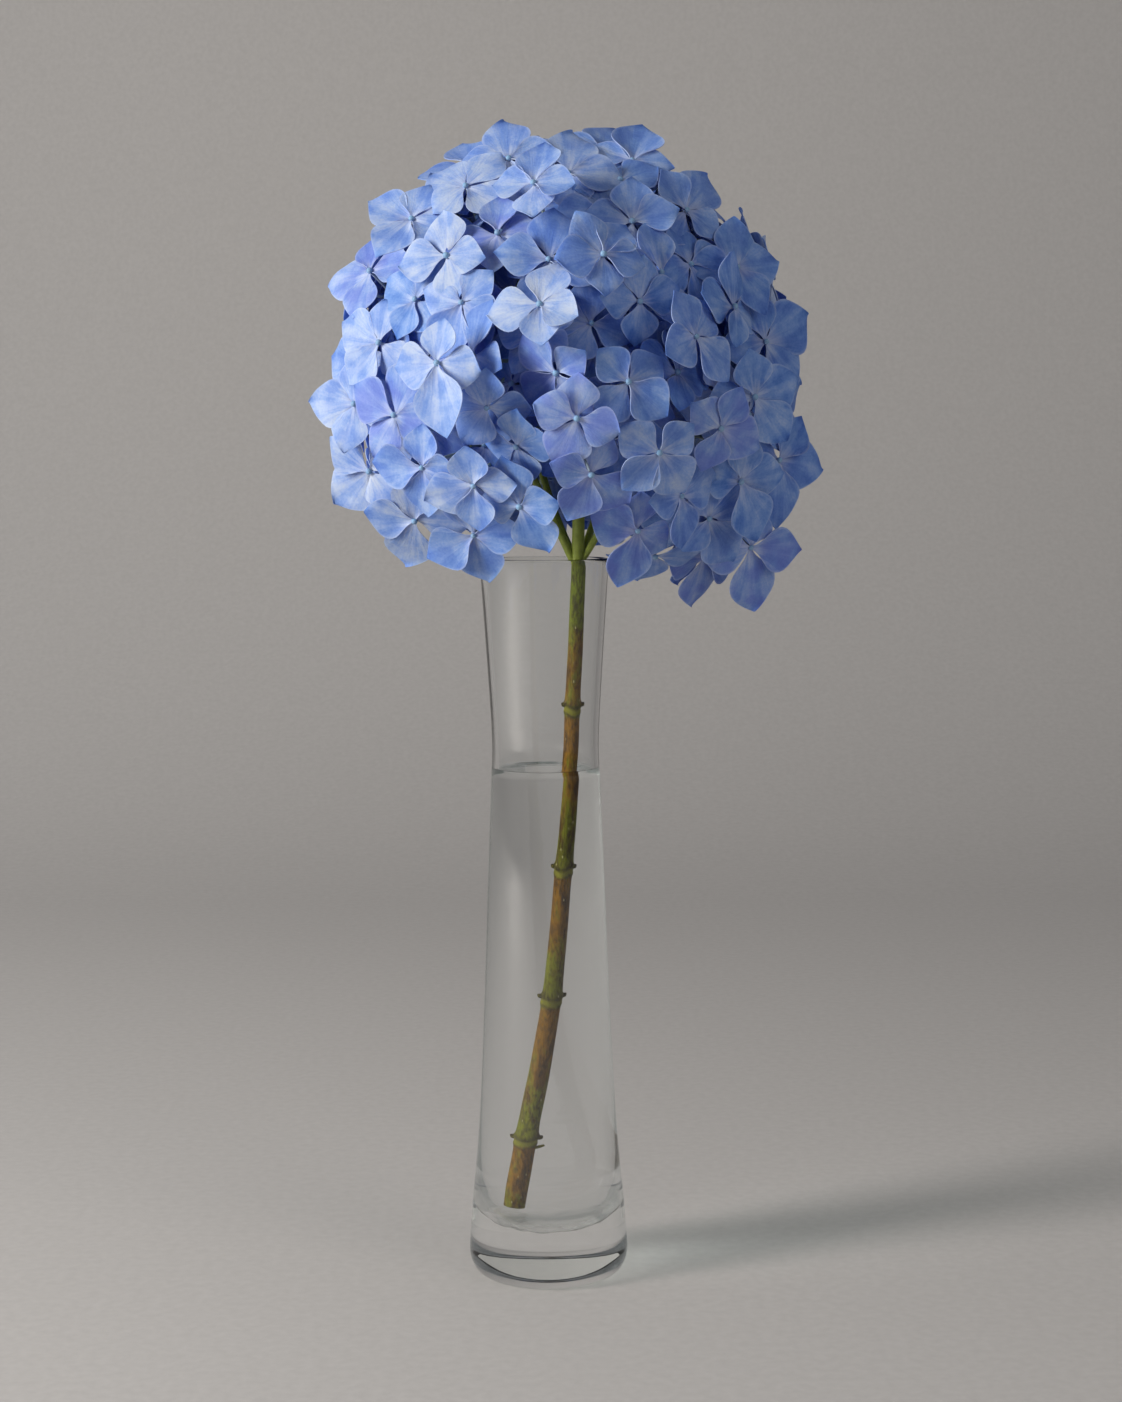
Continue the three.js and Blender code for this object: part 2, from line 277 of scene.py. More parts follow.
def tube(bm: Bmesh, points: Sequence[Vector], radii: Sequence[float],
         sides: int) -> list[list[Vert]]:
    """Extrude a round tube with closed ends along points.

    Args:
        bm: the mesh to add to.
        points: the middle of each ring.
        radii: the radius of each ring.
        sides: how many sides the tube has.

    Returns:
        The vertices of each ring.
    """
    chord = (points[-1] - points[0]).normalized()
    side = Vector((1, 0, 0)) if abs(chord.x) < 0.7 else Vector((0, 1, 0))

    def place(i: int) -> Matrix:
        """Find where a ring of radius 1 at the origin goes.

        Args:
            i: the ring's number.

        Returns:
            The matrix that brings it there.
        """
        before, after = points[max(i - 1, 0)], points[min(i + 1, len(points) - 1)]
        along = (after - before).normalized()
        across = (side - along * side.dot(along)).normalized()
        turn = Matrix((across, along.cross(across), along)).transposed().to_4x4()
        return Matrix.Translation(points[i]) @ turn @ Matrix.Scale(radii[i], 4)

    ring = bmesh.ops.create_circle(bm, cap_ends=True, segments=sides, radius=1)["verts"]
    bmesh.ops.transform(bm, matrix=place(0), verts=ring)
    rings = [ring]
    edges = list({edge for vert in ring for edge in vert.link_edges})
    for i in range(1, len(points)):
        made = bmesh.ops.extrude_edge_only(bm, edges=edges)["geom"]
        ring = [g for g in made if isinstance(g, Vert)]
        edges = [g for g in made if isinstance(g, bmesh.types.BMEdge)
                 and all(vert in ring for vert in g.verts)]
        bmesh.ops.transform(bm, matrix=place(i) @ place(i - 1).inverted(), verts=ring)
        rings.append(ring)
    bmesh.ops.holes_fill(bm, edges=edges, sides=sides)
    return rings


def settle(bm: Bmesh, name: str, material: bpy.types.Material, slot: str,
           *nodes: str) -> bpy.types.Object:
    """Finish a piece: bring it to metres, dress it and let it ride on the body.

    Args:
        bm: the piece's mesh in millimetres, freed here.
        name: the piece's name.
        material: what it is made of.
        slot: the record's material slot; not used.
        nodes: the CAD nodes that it stands for.

    Returns:
        The finished object, at the origin.
    """
    bmesh.ops.scale(bm, vec=(MM, MM, MM), verts=bm.verts)
    for face in bm.faces:
        face.smooth = True
    mesh = bpy.data.meshes.new(name)
    bm.to_mesh(mesh)
    bm.free()
    mesh.materials.append(material)
    piece = bpy.data.objects.new(name, mesh)
    bpy.context.scene.collection.objects.link(piece)
    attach(piece, BODY)
    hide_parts(*nodes)
    mesh.calc_loop_triangles()
    log.info("%s: %d triangles", name, len(mesh.loop_triangles))
    return piece


@dataclass(frozen=True)
class PhotoView:
    """The photograph's camera, worked out from the vase's outline and its 250 mm of height."""

    width: int = 1122
    height: int = 1402
    focal_px: float = 2468.0
    place_mm: Point = (5.5, -849.0, 276.0)
    pitch_down: float = 5.07
    roll: float = -0.35
    sensor_mm: float = 36.0
    clip_m: Pair = (0.01, 20.0)

    @property
    def place(self) -> Vector:
        """The camera's place in millimetres."""
        return Vector(self.place_mm)

    @property
    def turn(self) -> Matrix:
        """The camera's turn: pitched down a little and rolled by a hair."""
        pitch = Matrix.Rotation(math.radians(90 - self.pitch_down), 4, "X")
        return pitch @ Matrix.Rotation(math.radians(self.roll), 4, "Z")

    def ray(self, pixel: Pixel) -> Vector:
        """Find the direction in which the camera sees a pixel.

        Args:
            pixel: the pixel in the photograph.

        Returns:
            The direction, of length 1.
        """
        x = (pixel[0] - self.width / 2) / self.focal_px
        y = (self.height / 2 - pixel[1]) / self.focal_px
        return (self.turn @ Vector((x, y, -1))).normalized()

    def on_sphere(self, pixel: Pixel, centre: Vector, radius: float) -> Vector:
        """Find where a pixel's ray meets a sphere's near side.

        Args:
            pixel: the pixel in the photograph.
            centre: the sphere's centre.
            radius: the sphere's radius.

        Returns:
            The near crossing, or the ray's nearest point to the centre where it misses.
        """
        ray = self.ray(pixel)
        nearest = self.place + ray * (centre - self.place).dot(ray)
        room = radius ** 2 - (nearest - centre).length_squared
        return nearest - ray * math.sqrt(room) if room > 0 else nearest

    def on_plane(self, pixel: Pixel, point: Vector, normal: Vector) -> Vector:
        """Find where a pixel's ray meets a plane through a point."""
        ray = self.ray(pixel)
        return self.place + ray * ((point - self.place).dot(normal) / ray.dot(normal))

    def make_camera(self) -> None:
        """Stand the scene's camera where the photograph was taken from."""
        data = bpy.data.cameras.new("photo_camera")
        data.sensor_width = self.sensor_mm
        data.lens = self.focal_px / max(self.width, self.height) * self.sensor_mm
        data.clip_start, data.clip_end = self.clip_m
        camera = bpy.data.objects.new("photo_camera", data)
        camera.matrix_world = Matrix.Translation(self.place * MM) @ self.turn
        bpy.context.scene.collection.objects.link(camera)
        bpy.context.scene.camera = camera


class Tone(Enum):
    """How deep a floret's blue is, from 0 to 1, and how far it turns to violet."""

    PALEST = (0.21, 0.15)
    PALE = (0.28, 0.2)
    LIGHT = (0.37, 0.25)
    LILAC = (0.42, 0.75)
    MID = (0.47, 0.25)
    BLUE = (0.53, 0.0)
    VIOLET = (0.5, 0.7)
    STEEL = (0.5, 0.05)
    DEEP = (0.6, 0.2)


@dataclass(frozen=True)
class FloretMark:
    """One floret as it is seen in the photograph, read in its pixels.

    The first tip sets how the floret is turned, and the others the sepals nearest to them.
    """

    centre: Pixel
    tone: Tone
    tips: tuple[Pixel, ...]
    proud_mm: float = 0.0
    sepals: int = 4


FRONT_FLORETS = (
    FloretMark((412, 220), Tone.LIGHT, ((368, 204), (428, 187))),
    FloretMark((466, 187), Tone.PALE, ((430, 163), (433, 210))),
    FloretMark((447, 256), Tone.PALEST, ((438, 208), (400, 265), (472, 258), (456, 298)), 3),
    FloretMark((371, 272), Tone.LILAC, ((323, 283), (376, 238), (353, 318))),
    FloretMark((509, 160), Tone.LIGHT, ((505, 120), (456, 162))),
    FloretMark((534, 184), Tone.LIGHT, ((543, 140), (491, 185), (568, 183), (533, 211)), 2),
    FloretMark((568, 174), Tone.LIGHT, ((576, 120), (602, 150), (571, 212)), -2),
    FloretMark((498, 234), Tone.LILAC, ((537, 222), (500, 195), (460, 213), (490, 267)), -1),
    FloretMark((603, 255), Tone.MID, ((575, 213), (627, 220), (556, 258), (606, 286), (642, 258)),
               2, 5),
    FloretMark((549, 260), Tone.MID, ((556, 209),), -4),
    FloretMark((605, 214), Tone.MID, ((592, 170),), -4),
    FloretMark((632, 222), Tone.MID, ((629, 178), (675, 206)), -1),
    FloretMark((620, 181), Tone.DEEP, ((604, 152), (656, 167)), -2),
    FloretMark((632, 162), Tone.MID, ((641, 126), (670, 166), (640, 186))),
    FloretMark((605, 155), Tone.MID, ((612, 127),), -5),
    FloretMark((545, 150), Tone.MID, ((541, 132),), -5),
    FloretMark((470, 165), Tone.LIGHT, ((462, 143),), -5),
    FloretMark((686, 211), Tone.MID, ((711, 173), (660, 173), (716, 233), (737, 197))),
    FloretMark((690, 265), Tone.DEEP, ((672, 222), (716, 250), (717, 275)), -3),
    FloretMark((654, 260), Tone.STEEL, ((663, 230), (678, 250)), -5),
    FloretMark((660, 273), Tone.MID, ((700, 278),), -6),
    FloretMark((736, 268), Tone.DEEP, ((777, 260), (745, 222), (778, 300)), 1),
    FloretMark((416, 300), Tone.BLUE, ((380, 277), (427, 316), (405, 323)), -1),
    FloretMark((462, 303), Tone.LIGHT, ((437, 357), (421, 290), (488, 268), (492, 322)), 2),
    FloretMark((380, 343), Tone.PALE, ((338, 323), (351, 386), (386, 310), (393, 360)), 1),
    FloretMark((438, 363), Tone.PALEST, ((394, 370), (452, 437), (440, 335), (475, 372)), 6),
    FloretMark((474, 355), Tone.MID, ((497, 366), (466, 375)), -2),
    FloretMark((355, 404), Tone.LIGHT, ((307, 403), (343, 452))),
    FloretMark((395, 415), Tone.LILAC, ((376, 459), (352, 388), (418, 423)), 1),
    FloretMark((487, 407), Tone.MID, ((518, 413), (484, 370), (466, 445)), 0),
    FloretMark((358, 365), Tone.LIGHT, ((333, 357),), -6),
    FloretMark((540, 305), Tone.PALEST, ((554, 259), (487, 312), (577, 317), (552, 342)), 3),
    FloretMark((591, 324), Tone.MID, ((622, 334), (583, 280), (612, 292), (572, 352)), -3),
    FloretMark((639, 301), Tone.STEEL, ((679, 288), (643, 257), (636, 342), (608, 287)), 1),
    FloretMark((537, 336), Tone.LIGHT, ((515, 368), (498, 340), (566, 356)), -3),
    FloretMark((557, 372), Tone.VIOLET, ((579, 353), (527, 400)), -3),
    FloretMark((577, 418), Tone.LILAC, ((577, 376), (536, 402), (609, 430), (556, 467)), 2),
    FloretMark((628, 382), Tone.MID, ((659, 358), (599, 352), (666, 415), (600, 420)), 2),
    FloretMark((695, 337), Tone.MID, ((716, 303), (729, 378), (664, 352), (676, 291)), 1),
    FloretMark((727, 285), Tone.DEEP, ((700, 300),), -5),
    FloretMark((733, 307), Tone.STEEL, ((756, 321), (738, 345)), -3),
    FloretMark((765, 342), Tone.DEEP, ((811, 316), (804, 378)), 0),
    FloretMark((754, 397), Tone.STEEL, ((800, 380), (745, 350), (785, 440)), 2),
    FloretMark((720, 428), Tone.VIOLET, ((743, 388), (761, 447), (706, 472), (692, 405)), 2),
    FloretMark((676, 373), Tone.DEEP, ((680, 410), (705, 385)), -6),
    FloretMark((370, 471), Tone.PALE, ((334, 506), (329, 440), (387, 497))),
    FloretMark((423, 467), Tone.LIGHT, ((428, 517), (418, 428), (375, 462), (446, 473)), 1),
    FloretMark((474, 485), Tone.LIGHT, ((515, 485), (465, 447), (482, 528), (431, 512)), 1),
    FloretMark((415, 520), Tone.PALE, ((364, 515), (403, 567), (435, 545)), -1),
    FloretMark((474, 535), Tone.MID, ((485, 585), (431, 562)), -2),
    FloretMark((517, 446), Tone.STEEL, ((482, 447), (520, 420), (530, 483), (547, 445)), -1),
    FloretMark((520, 506), Tone.STEEL, ((543, 557), (492, 495), (559, 500), (505, 557)), 1),
    FloretMark((591, 474), Tone.VIOLET, ((570, 520), (552, 465), (623, 508), (600, 457)), 1),
    FloretMark((612, 440), Tone.DEEP, ((610, 480),), -6),
    FloretMark((637, 530), Tone.VIOLET, ((618, 585), (592, 518), (665, 545), (640, 500)), 0),
    FloretMark((659, 452), Tone.LIGHT, ((692, 427), (622, 430), (688, 492), (624, 490)), 3),
    FloretMark((740, 481), Tone.STEEL, ((787, 473), (775, 520), (720, 478), (745, 528)), 2),
    FloretMark((778, 460), Tone.DEEP, ((827, 468), (803, 421), (782, 530)), -1),
    FloretMark((708, 518), Tone.MID, ((731, 562), (700, 475), (690, 540)), 0),
    FloretMark((680, 496), Tone.MID, ((684, 548), (650, 505)), -2),
    FloretMark((750, 547), Tone.VIOLET, ((754, 612), (798, 545), (765, 522)), 0),
    FloretMark((704, 558), Tone.VIOLET, ((697, 608), (730, 578)), -2),
    FloretMark((780, 400), Tone.DEEP, ((807, 388), (800, 425)), -5),
    FloretMark((690, 545), Tone.DEEP, ((668, 560),), -7),
    FloretMark((668, 475), Tone.DEEP, ((655, 520),), -8),
    FloretMark((738, 518), Tone.DEEP, ((762, 540),), -7),
    FloretMark((655, 555), Tone.MID, ((640, 580),), -7),
    FloretMark((640, 500), Tone.DEEP, ((612, 525),), -8),
    FloretMark((512, 384), Tone.DEEP, ((530, 404),), -8),
)


@dataclass(frozen=True)
class SepalShape:
    """How one kind of sepal is cupped, bowed and waved, as parts of its length.

    A shoulder over 1 moves its broadest part towards the tip, and its point goes from 0 for a
    round end to 1 for a sharp one. The outlines give half its breadth from the claw to the tip.
    """

    cup: float
    bow: float
    curl: float
    ruffle: float
    fold: float
    phase: float
    skew: float
    shoulder: float
    point: float
    round_outline: tuple[float, ...] = (
        0.03, 0.07, 0.2, 0.36, 0.45, 0.485, 0.485, 0.455, 0.385, 0.25, 0.004)
    pointed_outline: tuple[float, ...] = (
        0.03, 0.07, 0.21, 0.375, 0.455, 0.46, 0.42, 0.335, 0.225, 0.115, 0.004)
    crinkle: float = 0.02
    crinkle_rate: float = 21.0
    ruffle_rates: Pair = (7.0, 1.4)
    fold_rate: float = 11.0
    fold_start: Pair = (0.1, 0.6)
    curl_start: float = 0.62
    groove: float = 0.02
    groove_width: float = 0.25

    def half_breadth(self, reach: float) -> float:
        """Find half the breadth: a narrow claw, broad shoulders, a short point.

        Args:
            reach: along the sepal, 0 to 1.

        Returns:
            Half the breadth there.
        """
        at = min(max(reach, 0.0), 1.0) ** self.shoulder * (len(self.round_outline) - 1)
        k = min(int(at), len(self.round_outline) - 2)
        blunt, sharp = (outline[k] + (outline[k + 1] - outline[k]) * (at - k)
                        for outline in (self.round_outline, self.pointed_outline))
        crinkle = 1 + self.crinkle * math.sin(reach * self.crinkle_rate + self.phase)
        return crinkle * (blunt + (sharp - blunt) * self.point)

    def lift(self, side: float, reach: float, fan: float) -> float:
        """Find how high the blade stands over the plane of its claw.

        Args:
            side: across the blade, -1 to 1.
            reach: along it, 0 to 1.
            fan: how far round from the midrib.

        Returns:
            The height there.
        """
        ruffle = math.sin(reach * self.ruffle_rates[0] + self.phase + side * self.ruffle_rates[1])
        rise = self.cup * side * side * math.sin(math.pi * min(reach + 0.1, 1))
        rise += self.ruffle * ruffle * side * side * reach * 2
        rise += (self.fold * math.cos(fan * self.fold_rate + self.phase)
                 * smooth_step(reach, *self.fold_start))
        rise -= self.bow * reach * reach + self.curl * max(0.0, reach - self.curl_start) ** 2 * 3
        rise -= self.groove * bell(side, 0, self.groove_width) * math.sin(math.pi * reach)
        return rise


@dataclass(frozen=True)
class Sepal:
    """One sepal of a floret: its angle, length and breadth, and how far its tip is raised."""

    angle: float
    length: float
    breadth: float
    pitch: float
    kind: int


@dataclass
class Floret:
    """One floret: where it is, where it faces, its colour and its sepals."""

    centre: Vector
    facing: Vector
    depth: float
    violet: float
    sepals: list[Sepal] = field(default_factory=list)

    def place(self) -> Matrix:
        """The matrix that brings a floret facing +Z to its place."""
        turn = UP.rotation_difference(self.facing).to_matrix().to_4x4()
        return Matrix.Translation(self.centre) @ turn


@dataclass(frozen=True)
class SepalFinish(Finish):
    """A living hydrangea sepal: thin, matt, faintly velvety, and lit through from behind.

    Blue pigment lies unevenly in it, in soft streaks that fan out from the claw, deepest at
    the tip, and fades to near white at the claw. The light that its cut edge catches is a
    painted highlight: a pale line laid along the edge.
    The weights say how far streaks, clouds, hairs, mottling and the tip deepen the blue.
    """

    name: str = "hydrangea_sepal"
    stops: tuple[tuple[float, str], ...] = (
        (0.0, "D2DEF2"), (0.25, "A7C3F0"), (0.5, "79A3E6"), (0.75, "5385D8"), (1.0, "3B63BC"))
    lilac: str = "938FE6"
    claw: str = "E8EDFA"
    vein: str = "3E6BD3"
    # painted highlight: the pale line where the sepal's thin edge catches the light
    edge_highlight: str = "D9E6FB"
    roughness: float = 0.5
    velvet: float = 0.1
    through: float = 0.3
    mottle_mm: float = 0.8
    cloud_mm: float = 8.0
    streak_stretch: Point = (4.4, 1.2, 31.0)
    hair_stretch: Point = (19.0, 2.4, 47.0)
    weights: tuple[float, ...] = (0.18, 0.26, 0.16, 0.34, 0.2)
    paling: float = -0.47
    soft_band: Pair = (0.34, 0.66)
    tip_start: float = 0.82
    lilac_shares: Pair = (0.12, 0.5)
    claw_run: Pair = (0.05, 0.42)
    claw_share: float = 0.42
    # how far in from the edge the painted highlight reaches, and how strong it is
    edge_highlight_start: float = 0.88
    edge_highlight_share: float = 0.36
    vein_count: float = 3.6
    vein_wander: float = 0.22
    vein_width: float = 0.11
    vein_share: float = 0.3
    vein_fade: Pair = (0.2, 0.75)
    relief_mm: float = 0.14

    def surface(self, tree: Tree) -> bpy.types.Node:
        """Add the nodes that read the sepal and tint attributes.

        Args:
            tree: the material's node tree.

        Returns:
            The sepal's shader.
        """
        sepal, tint = (add_node(tree, "Attribute", attribute_name=name).outputs["Vector"]
                       for name in ("sepal", "tint"))
        side, reach, fan = add_node(tree, "SeparateXYZ", {0: sepal}).outputs
        tone, violet, seed = add_node(tree, "SeparateXYZ", {0: tint}).outputs
        streak, hair, cloud, mottle = self.patterns(tree, fan, reach, seed)
        tip = add_node(tree, "MapRange", {0: reach, 1: self.tip_start, 2: 1.0})
        depth = tone
        for share, weight in zip((streak, cloud, hair, mottle, tip), self.weights):
            depth = add_node(tree, "Math", {0: share, 1: weight, 2: depth},
                             operation="MULTIPLY_ADD")
        depth = add_node(tree, "Math", {0: depth, 1: self.paling}, operation="ADD")
        ramp = add_node(tree, "ValToRGB", {0: depth})
        ramp.color_ramp.interpolation = "B_SPLINE"
        fill_ramp(ramp.color_ramp, self.stops)
        veins = self.vein_mask(tree, fan, reach, hair)
        # the last layer is the painted highlight along the sepal's edge
        colour = lay_over(tree, ramp, ((self.lilac_mask(tree, violet, cloud), self.lilac),
                                       (veins, self.vein),
                                       (self.claw_mask(tree, reach, streak), self.claw),
                                       (self.edge_highlight_mask(tree, side, reach), self.edge_highlight)))
        height = add_node(tree, "Math", {0: hair, 1: mottle}, operation="ADD")
        height = add_node(tree, "Math", {0: height, 1: veins}, operation="SUBTRACT")
        bump = add_node(tree, "Bump", {"Height": height, "Strength": 0.6,
                                       "Distance": self.relief_mm * MM})
        skin = add_node(tree, "BsdfPrincipled", {
            "Base Color": colour, "Roughness": self.roughness, "Normal": bump,
            "Sheen Weight": self.velvet, "Sheen Roughness": 0.4, "Specular IOR Level": 0.4})
        glow = add_node(tree, "BsdfTranslucent", {"Color": colour, "Normal": bump})
        return add_node(tree, "MixShader", {0: self.through, 1: skin, 2: glow})

    def patterns(self, tree: Tree, fan: Link, reach: Link, seed: Link) -> list[bpy.types.Node]:
        """Add the noises that the pigment follows.

        Args:
            tree: the material's node tree.
            fan: how far a point lies round from the midrib, 0 on it.
            reach: along the sepal, 0 to 1.
            seed: a number of the sepal's own.

        Returns:
            Streaks and hairs along the sepal, clouds and mottling across the whole head.
        """
        spread = add_node(tree, "CombineXYZ", {0: fan, 1: reach, 2: seed})
        place = add_node(tree, "TexCoord").outputs["Object"]
        noises = []
        for source, stretch, detail in ((spread, self.streak_stretch, 3.0),
                                        (spread, self.hair_stretch, 2.0),
                                        (place, (1 / (self.cloud_mm * MM),) * 3, 2.0),
                                        (place, (1 / (self.mottle_mm * MM),) * 3, 3.0)):
            scaled = add_node(tree, "VectorMath", {0: source, 1: stretch}, operation="MULTIPLY")
            noises.append(add_node(tree, "TexNoise", {"Vector": scaled, "Scale": 1.0,
                                                      "Detail": detail}))
        low, high = self.soft_band
        for i in (0, 2):
            noises[i] = add_node(tree, "MapRange", {0: noises[i], 1: low, 2: high},
                                 interpolation_type="SMOOTHSTEP")
        return noises

    def lilac_mask(self, tree: Tree, violet: Link, cloud: Link) -> Link:
        """Tell where a violet floret turns to lilac, in soft patches."""
        patch = add_node(tree, "MapRange", {0: cloud, 3: self.lilac_shares[0],
                                            4: self.lilac_shares[1]})
        return add_node(tree, "Math", {0: patch, 1: violet}, operation="MULTIPLY")

    def claw_mask(self, tree: Tree, reach: Link, streak: Link) -> Link:
        """Tell where the claw is bleached, reaching furthest between the streaks.

        Args:
            tree: the material's node tree.
            reach: along the sepal, 0 to 1.
            streak: the streaks of pigment.

        Returns:
            What is strongest on the claw.
        """
        run = add_node(tree, "Math", {0: streak, 1: 0.12, 2: reach}, operation="MULTIPLY_ADD")
        return add_node(tree, "MapRange", {0: run, 1: self.claw_run[0], 2: self.claw_run[1],
                                           3: self.claw_share, 4: 0.0},
                        interpolation_type="SMOOTHSTEP")

    def edge_highlight_mask(self, tree: Tree, side: Link, reach: Link) -> Link:
        """Tell where the painted highlight runs along the edge, which leaves out the deep blue tip.

        Args:
            tree: the material's node tree.
            side: across the sepal, -1 to 1.
            reach: along the sepal, 0 to 1.

        Returns:
            What is strongest on the edge.
        """
        edge = add_node(tree, "Math", {0: side}, operation="ABSOLUTE")
        edge = add_node(tree, "MapRange", {0: edge, 1: self.edge_highlight_start, 2: 1.0, 3: 0.0,
                                           4: self.edge_highlight_share})
        blade = add_node(tree, "MapRange", {0: reach, 1: 0.8, 2: 0.95, 3: 1.0, 4: 0.15})
        return add_node(tree, "Math", {0: edge, 1: blade}, operation="MULTIPLY")

    def vein_mask(self, tree: Tree, fan: Link, reach: Link, wander: Link) -> Link:
        """Draw the main veins, which fan from the claw to the edge and fade on the way.

        Args:
            tree: the material's node tree.
            fan: how far a point lies round from the midrib, 0 on it.
            reach: along the sepal, 0 to 1.
            wander: noise that bends the veins a little.

        Returns:
            What is strongest on a vein.
        """
        bent = add_node(tree, "Math", {0: wander, 1: self.vein_wander, 2: fan},
                        operation="MULTIPLY_ADD")
        turned = add_node(tree, "Math", {0: bent, 1: self.vein_count, 2: -0.25},
                          operation="MULTIPLY_ADD")
        saw = add_node(tree, "Math", {0: turned, 1: 0.5}, operation="PINGPONG")
        line = add_node(tree, "MapRange", {0: saw, 1: 0.0, 2: self.vein_width,
                                           3: self.vein_share, 4: 0.0},
                        interpolation_type="SMOOTHSTEP")
        fade = add_node(tree, "MapRange", {0: reach, 1: self.vein_fade[0], 2: self.vein_fade[1],
                                           3: 1.0, 4: 0.0})
        return add_node(tree, "Math", {0: line, 1: fade}, operation="MULTIPLY")


@dataclass(frozen=True)
class BeadFinish(Finish):
    """The closed true flower in a floret's middle: a waxy blue-green bud."""

    name: str = "hydrangea_bud"
    top: str = "6FA6CF"
    foot: str = "8FA3C6"
    spot_mm: float = 1.1
    roughness: float = 0.35
    wax: float = 0.1

    def surface(self, tree: Tree) -> bpy.types.Node:
        """Add the nodes of the bud's waxy skin.

        Args:
            tree: the material's node tree.

        Returns:
            The bud's shader.
        """
        place = add_node(tree, "TexCoord").outputs["Object"]
        spots = add_node(tree, "TexNoise", {"Vector": place, "Scale": 1 / (self.spot_mm * MM)})
        colour = lay_over(tree, linear(self.top), ((spots, self.foot),))
        return add_node(tree, "BsdfPrincipled", {
            "Base Color": colour, "Roughness": self.roughness, "Coat Weight": self.wax})


@dataclass(frozen=True)
class TwigFinish(Finish):
    """Green living shoots: smooth, faintly ribbed skin, turning blue-grey near the florets."""

    name: str = "hydrangea_shoot"
    stops: tuple[tuple[float, str], ...] = ((0.0, "9EAC48"), (0.5, "8A9C50"), (1.0, "9FB0C4"))
    rib_mm: float = 2.2
    relief_mm: float = 0.2
    roughness: float = 0.45

    def surface(self, tree: Tree) -> bpy.types.Node:
        """Add the skin of rays and pedicels, from green to blue along the branch attribute.

        Args:
            tree: the material's node tree.

        Returns:
            The skin's shader.
        """
        branch = add_node(tree, "Attribute", attribute_name="branch").outputs["Fac"]
        place = add_node(tree, "TexCoord").outputs["Object"]
        ribs = add_node(tree, "TexNoise", {"Vector": place, "Scale": 1 / (self.rib_mm * MM),
                                           "Detail": 3.0})
        ramp = add_node(tree, "ValToRGB", {0: branch})
        fill_ramp(ramp.color_ramp, self.stops)
        bump = add_node(tree, "Bump", {"Height": ribs, "Strength": 0.4,
                                       "Distance": self.relief_mm * MM})
        return add_node(tree, "BsdfPrincipled", {
            "Base Color": shade_by(tree, ramp, ribs, (0.8, 1.1)), "Roughness": self.roughness,
            "Normal": bump})


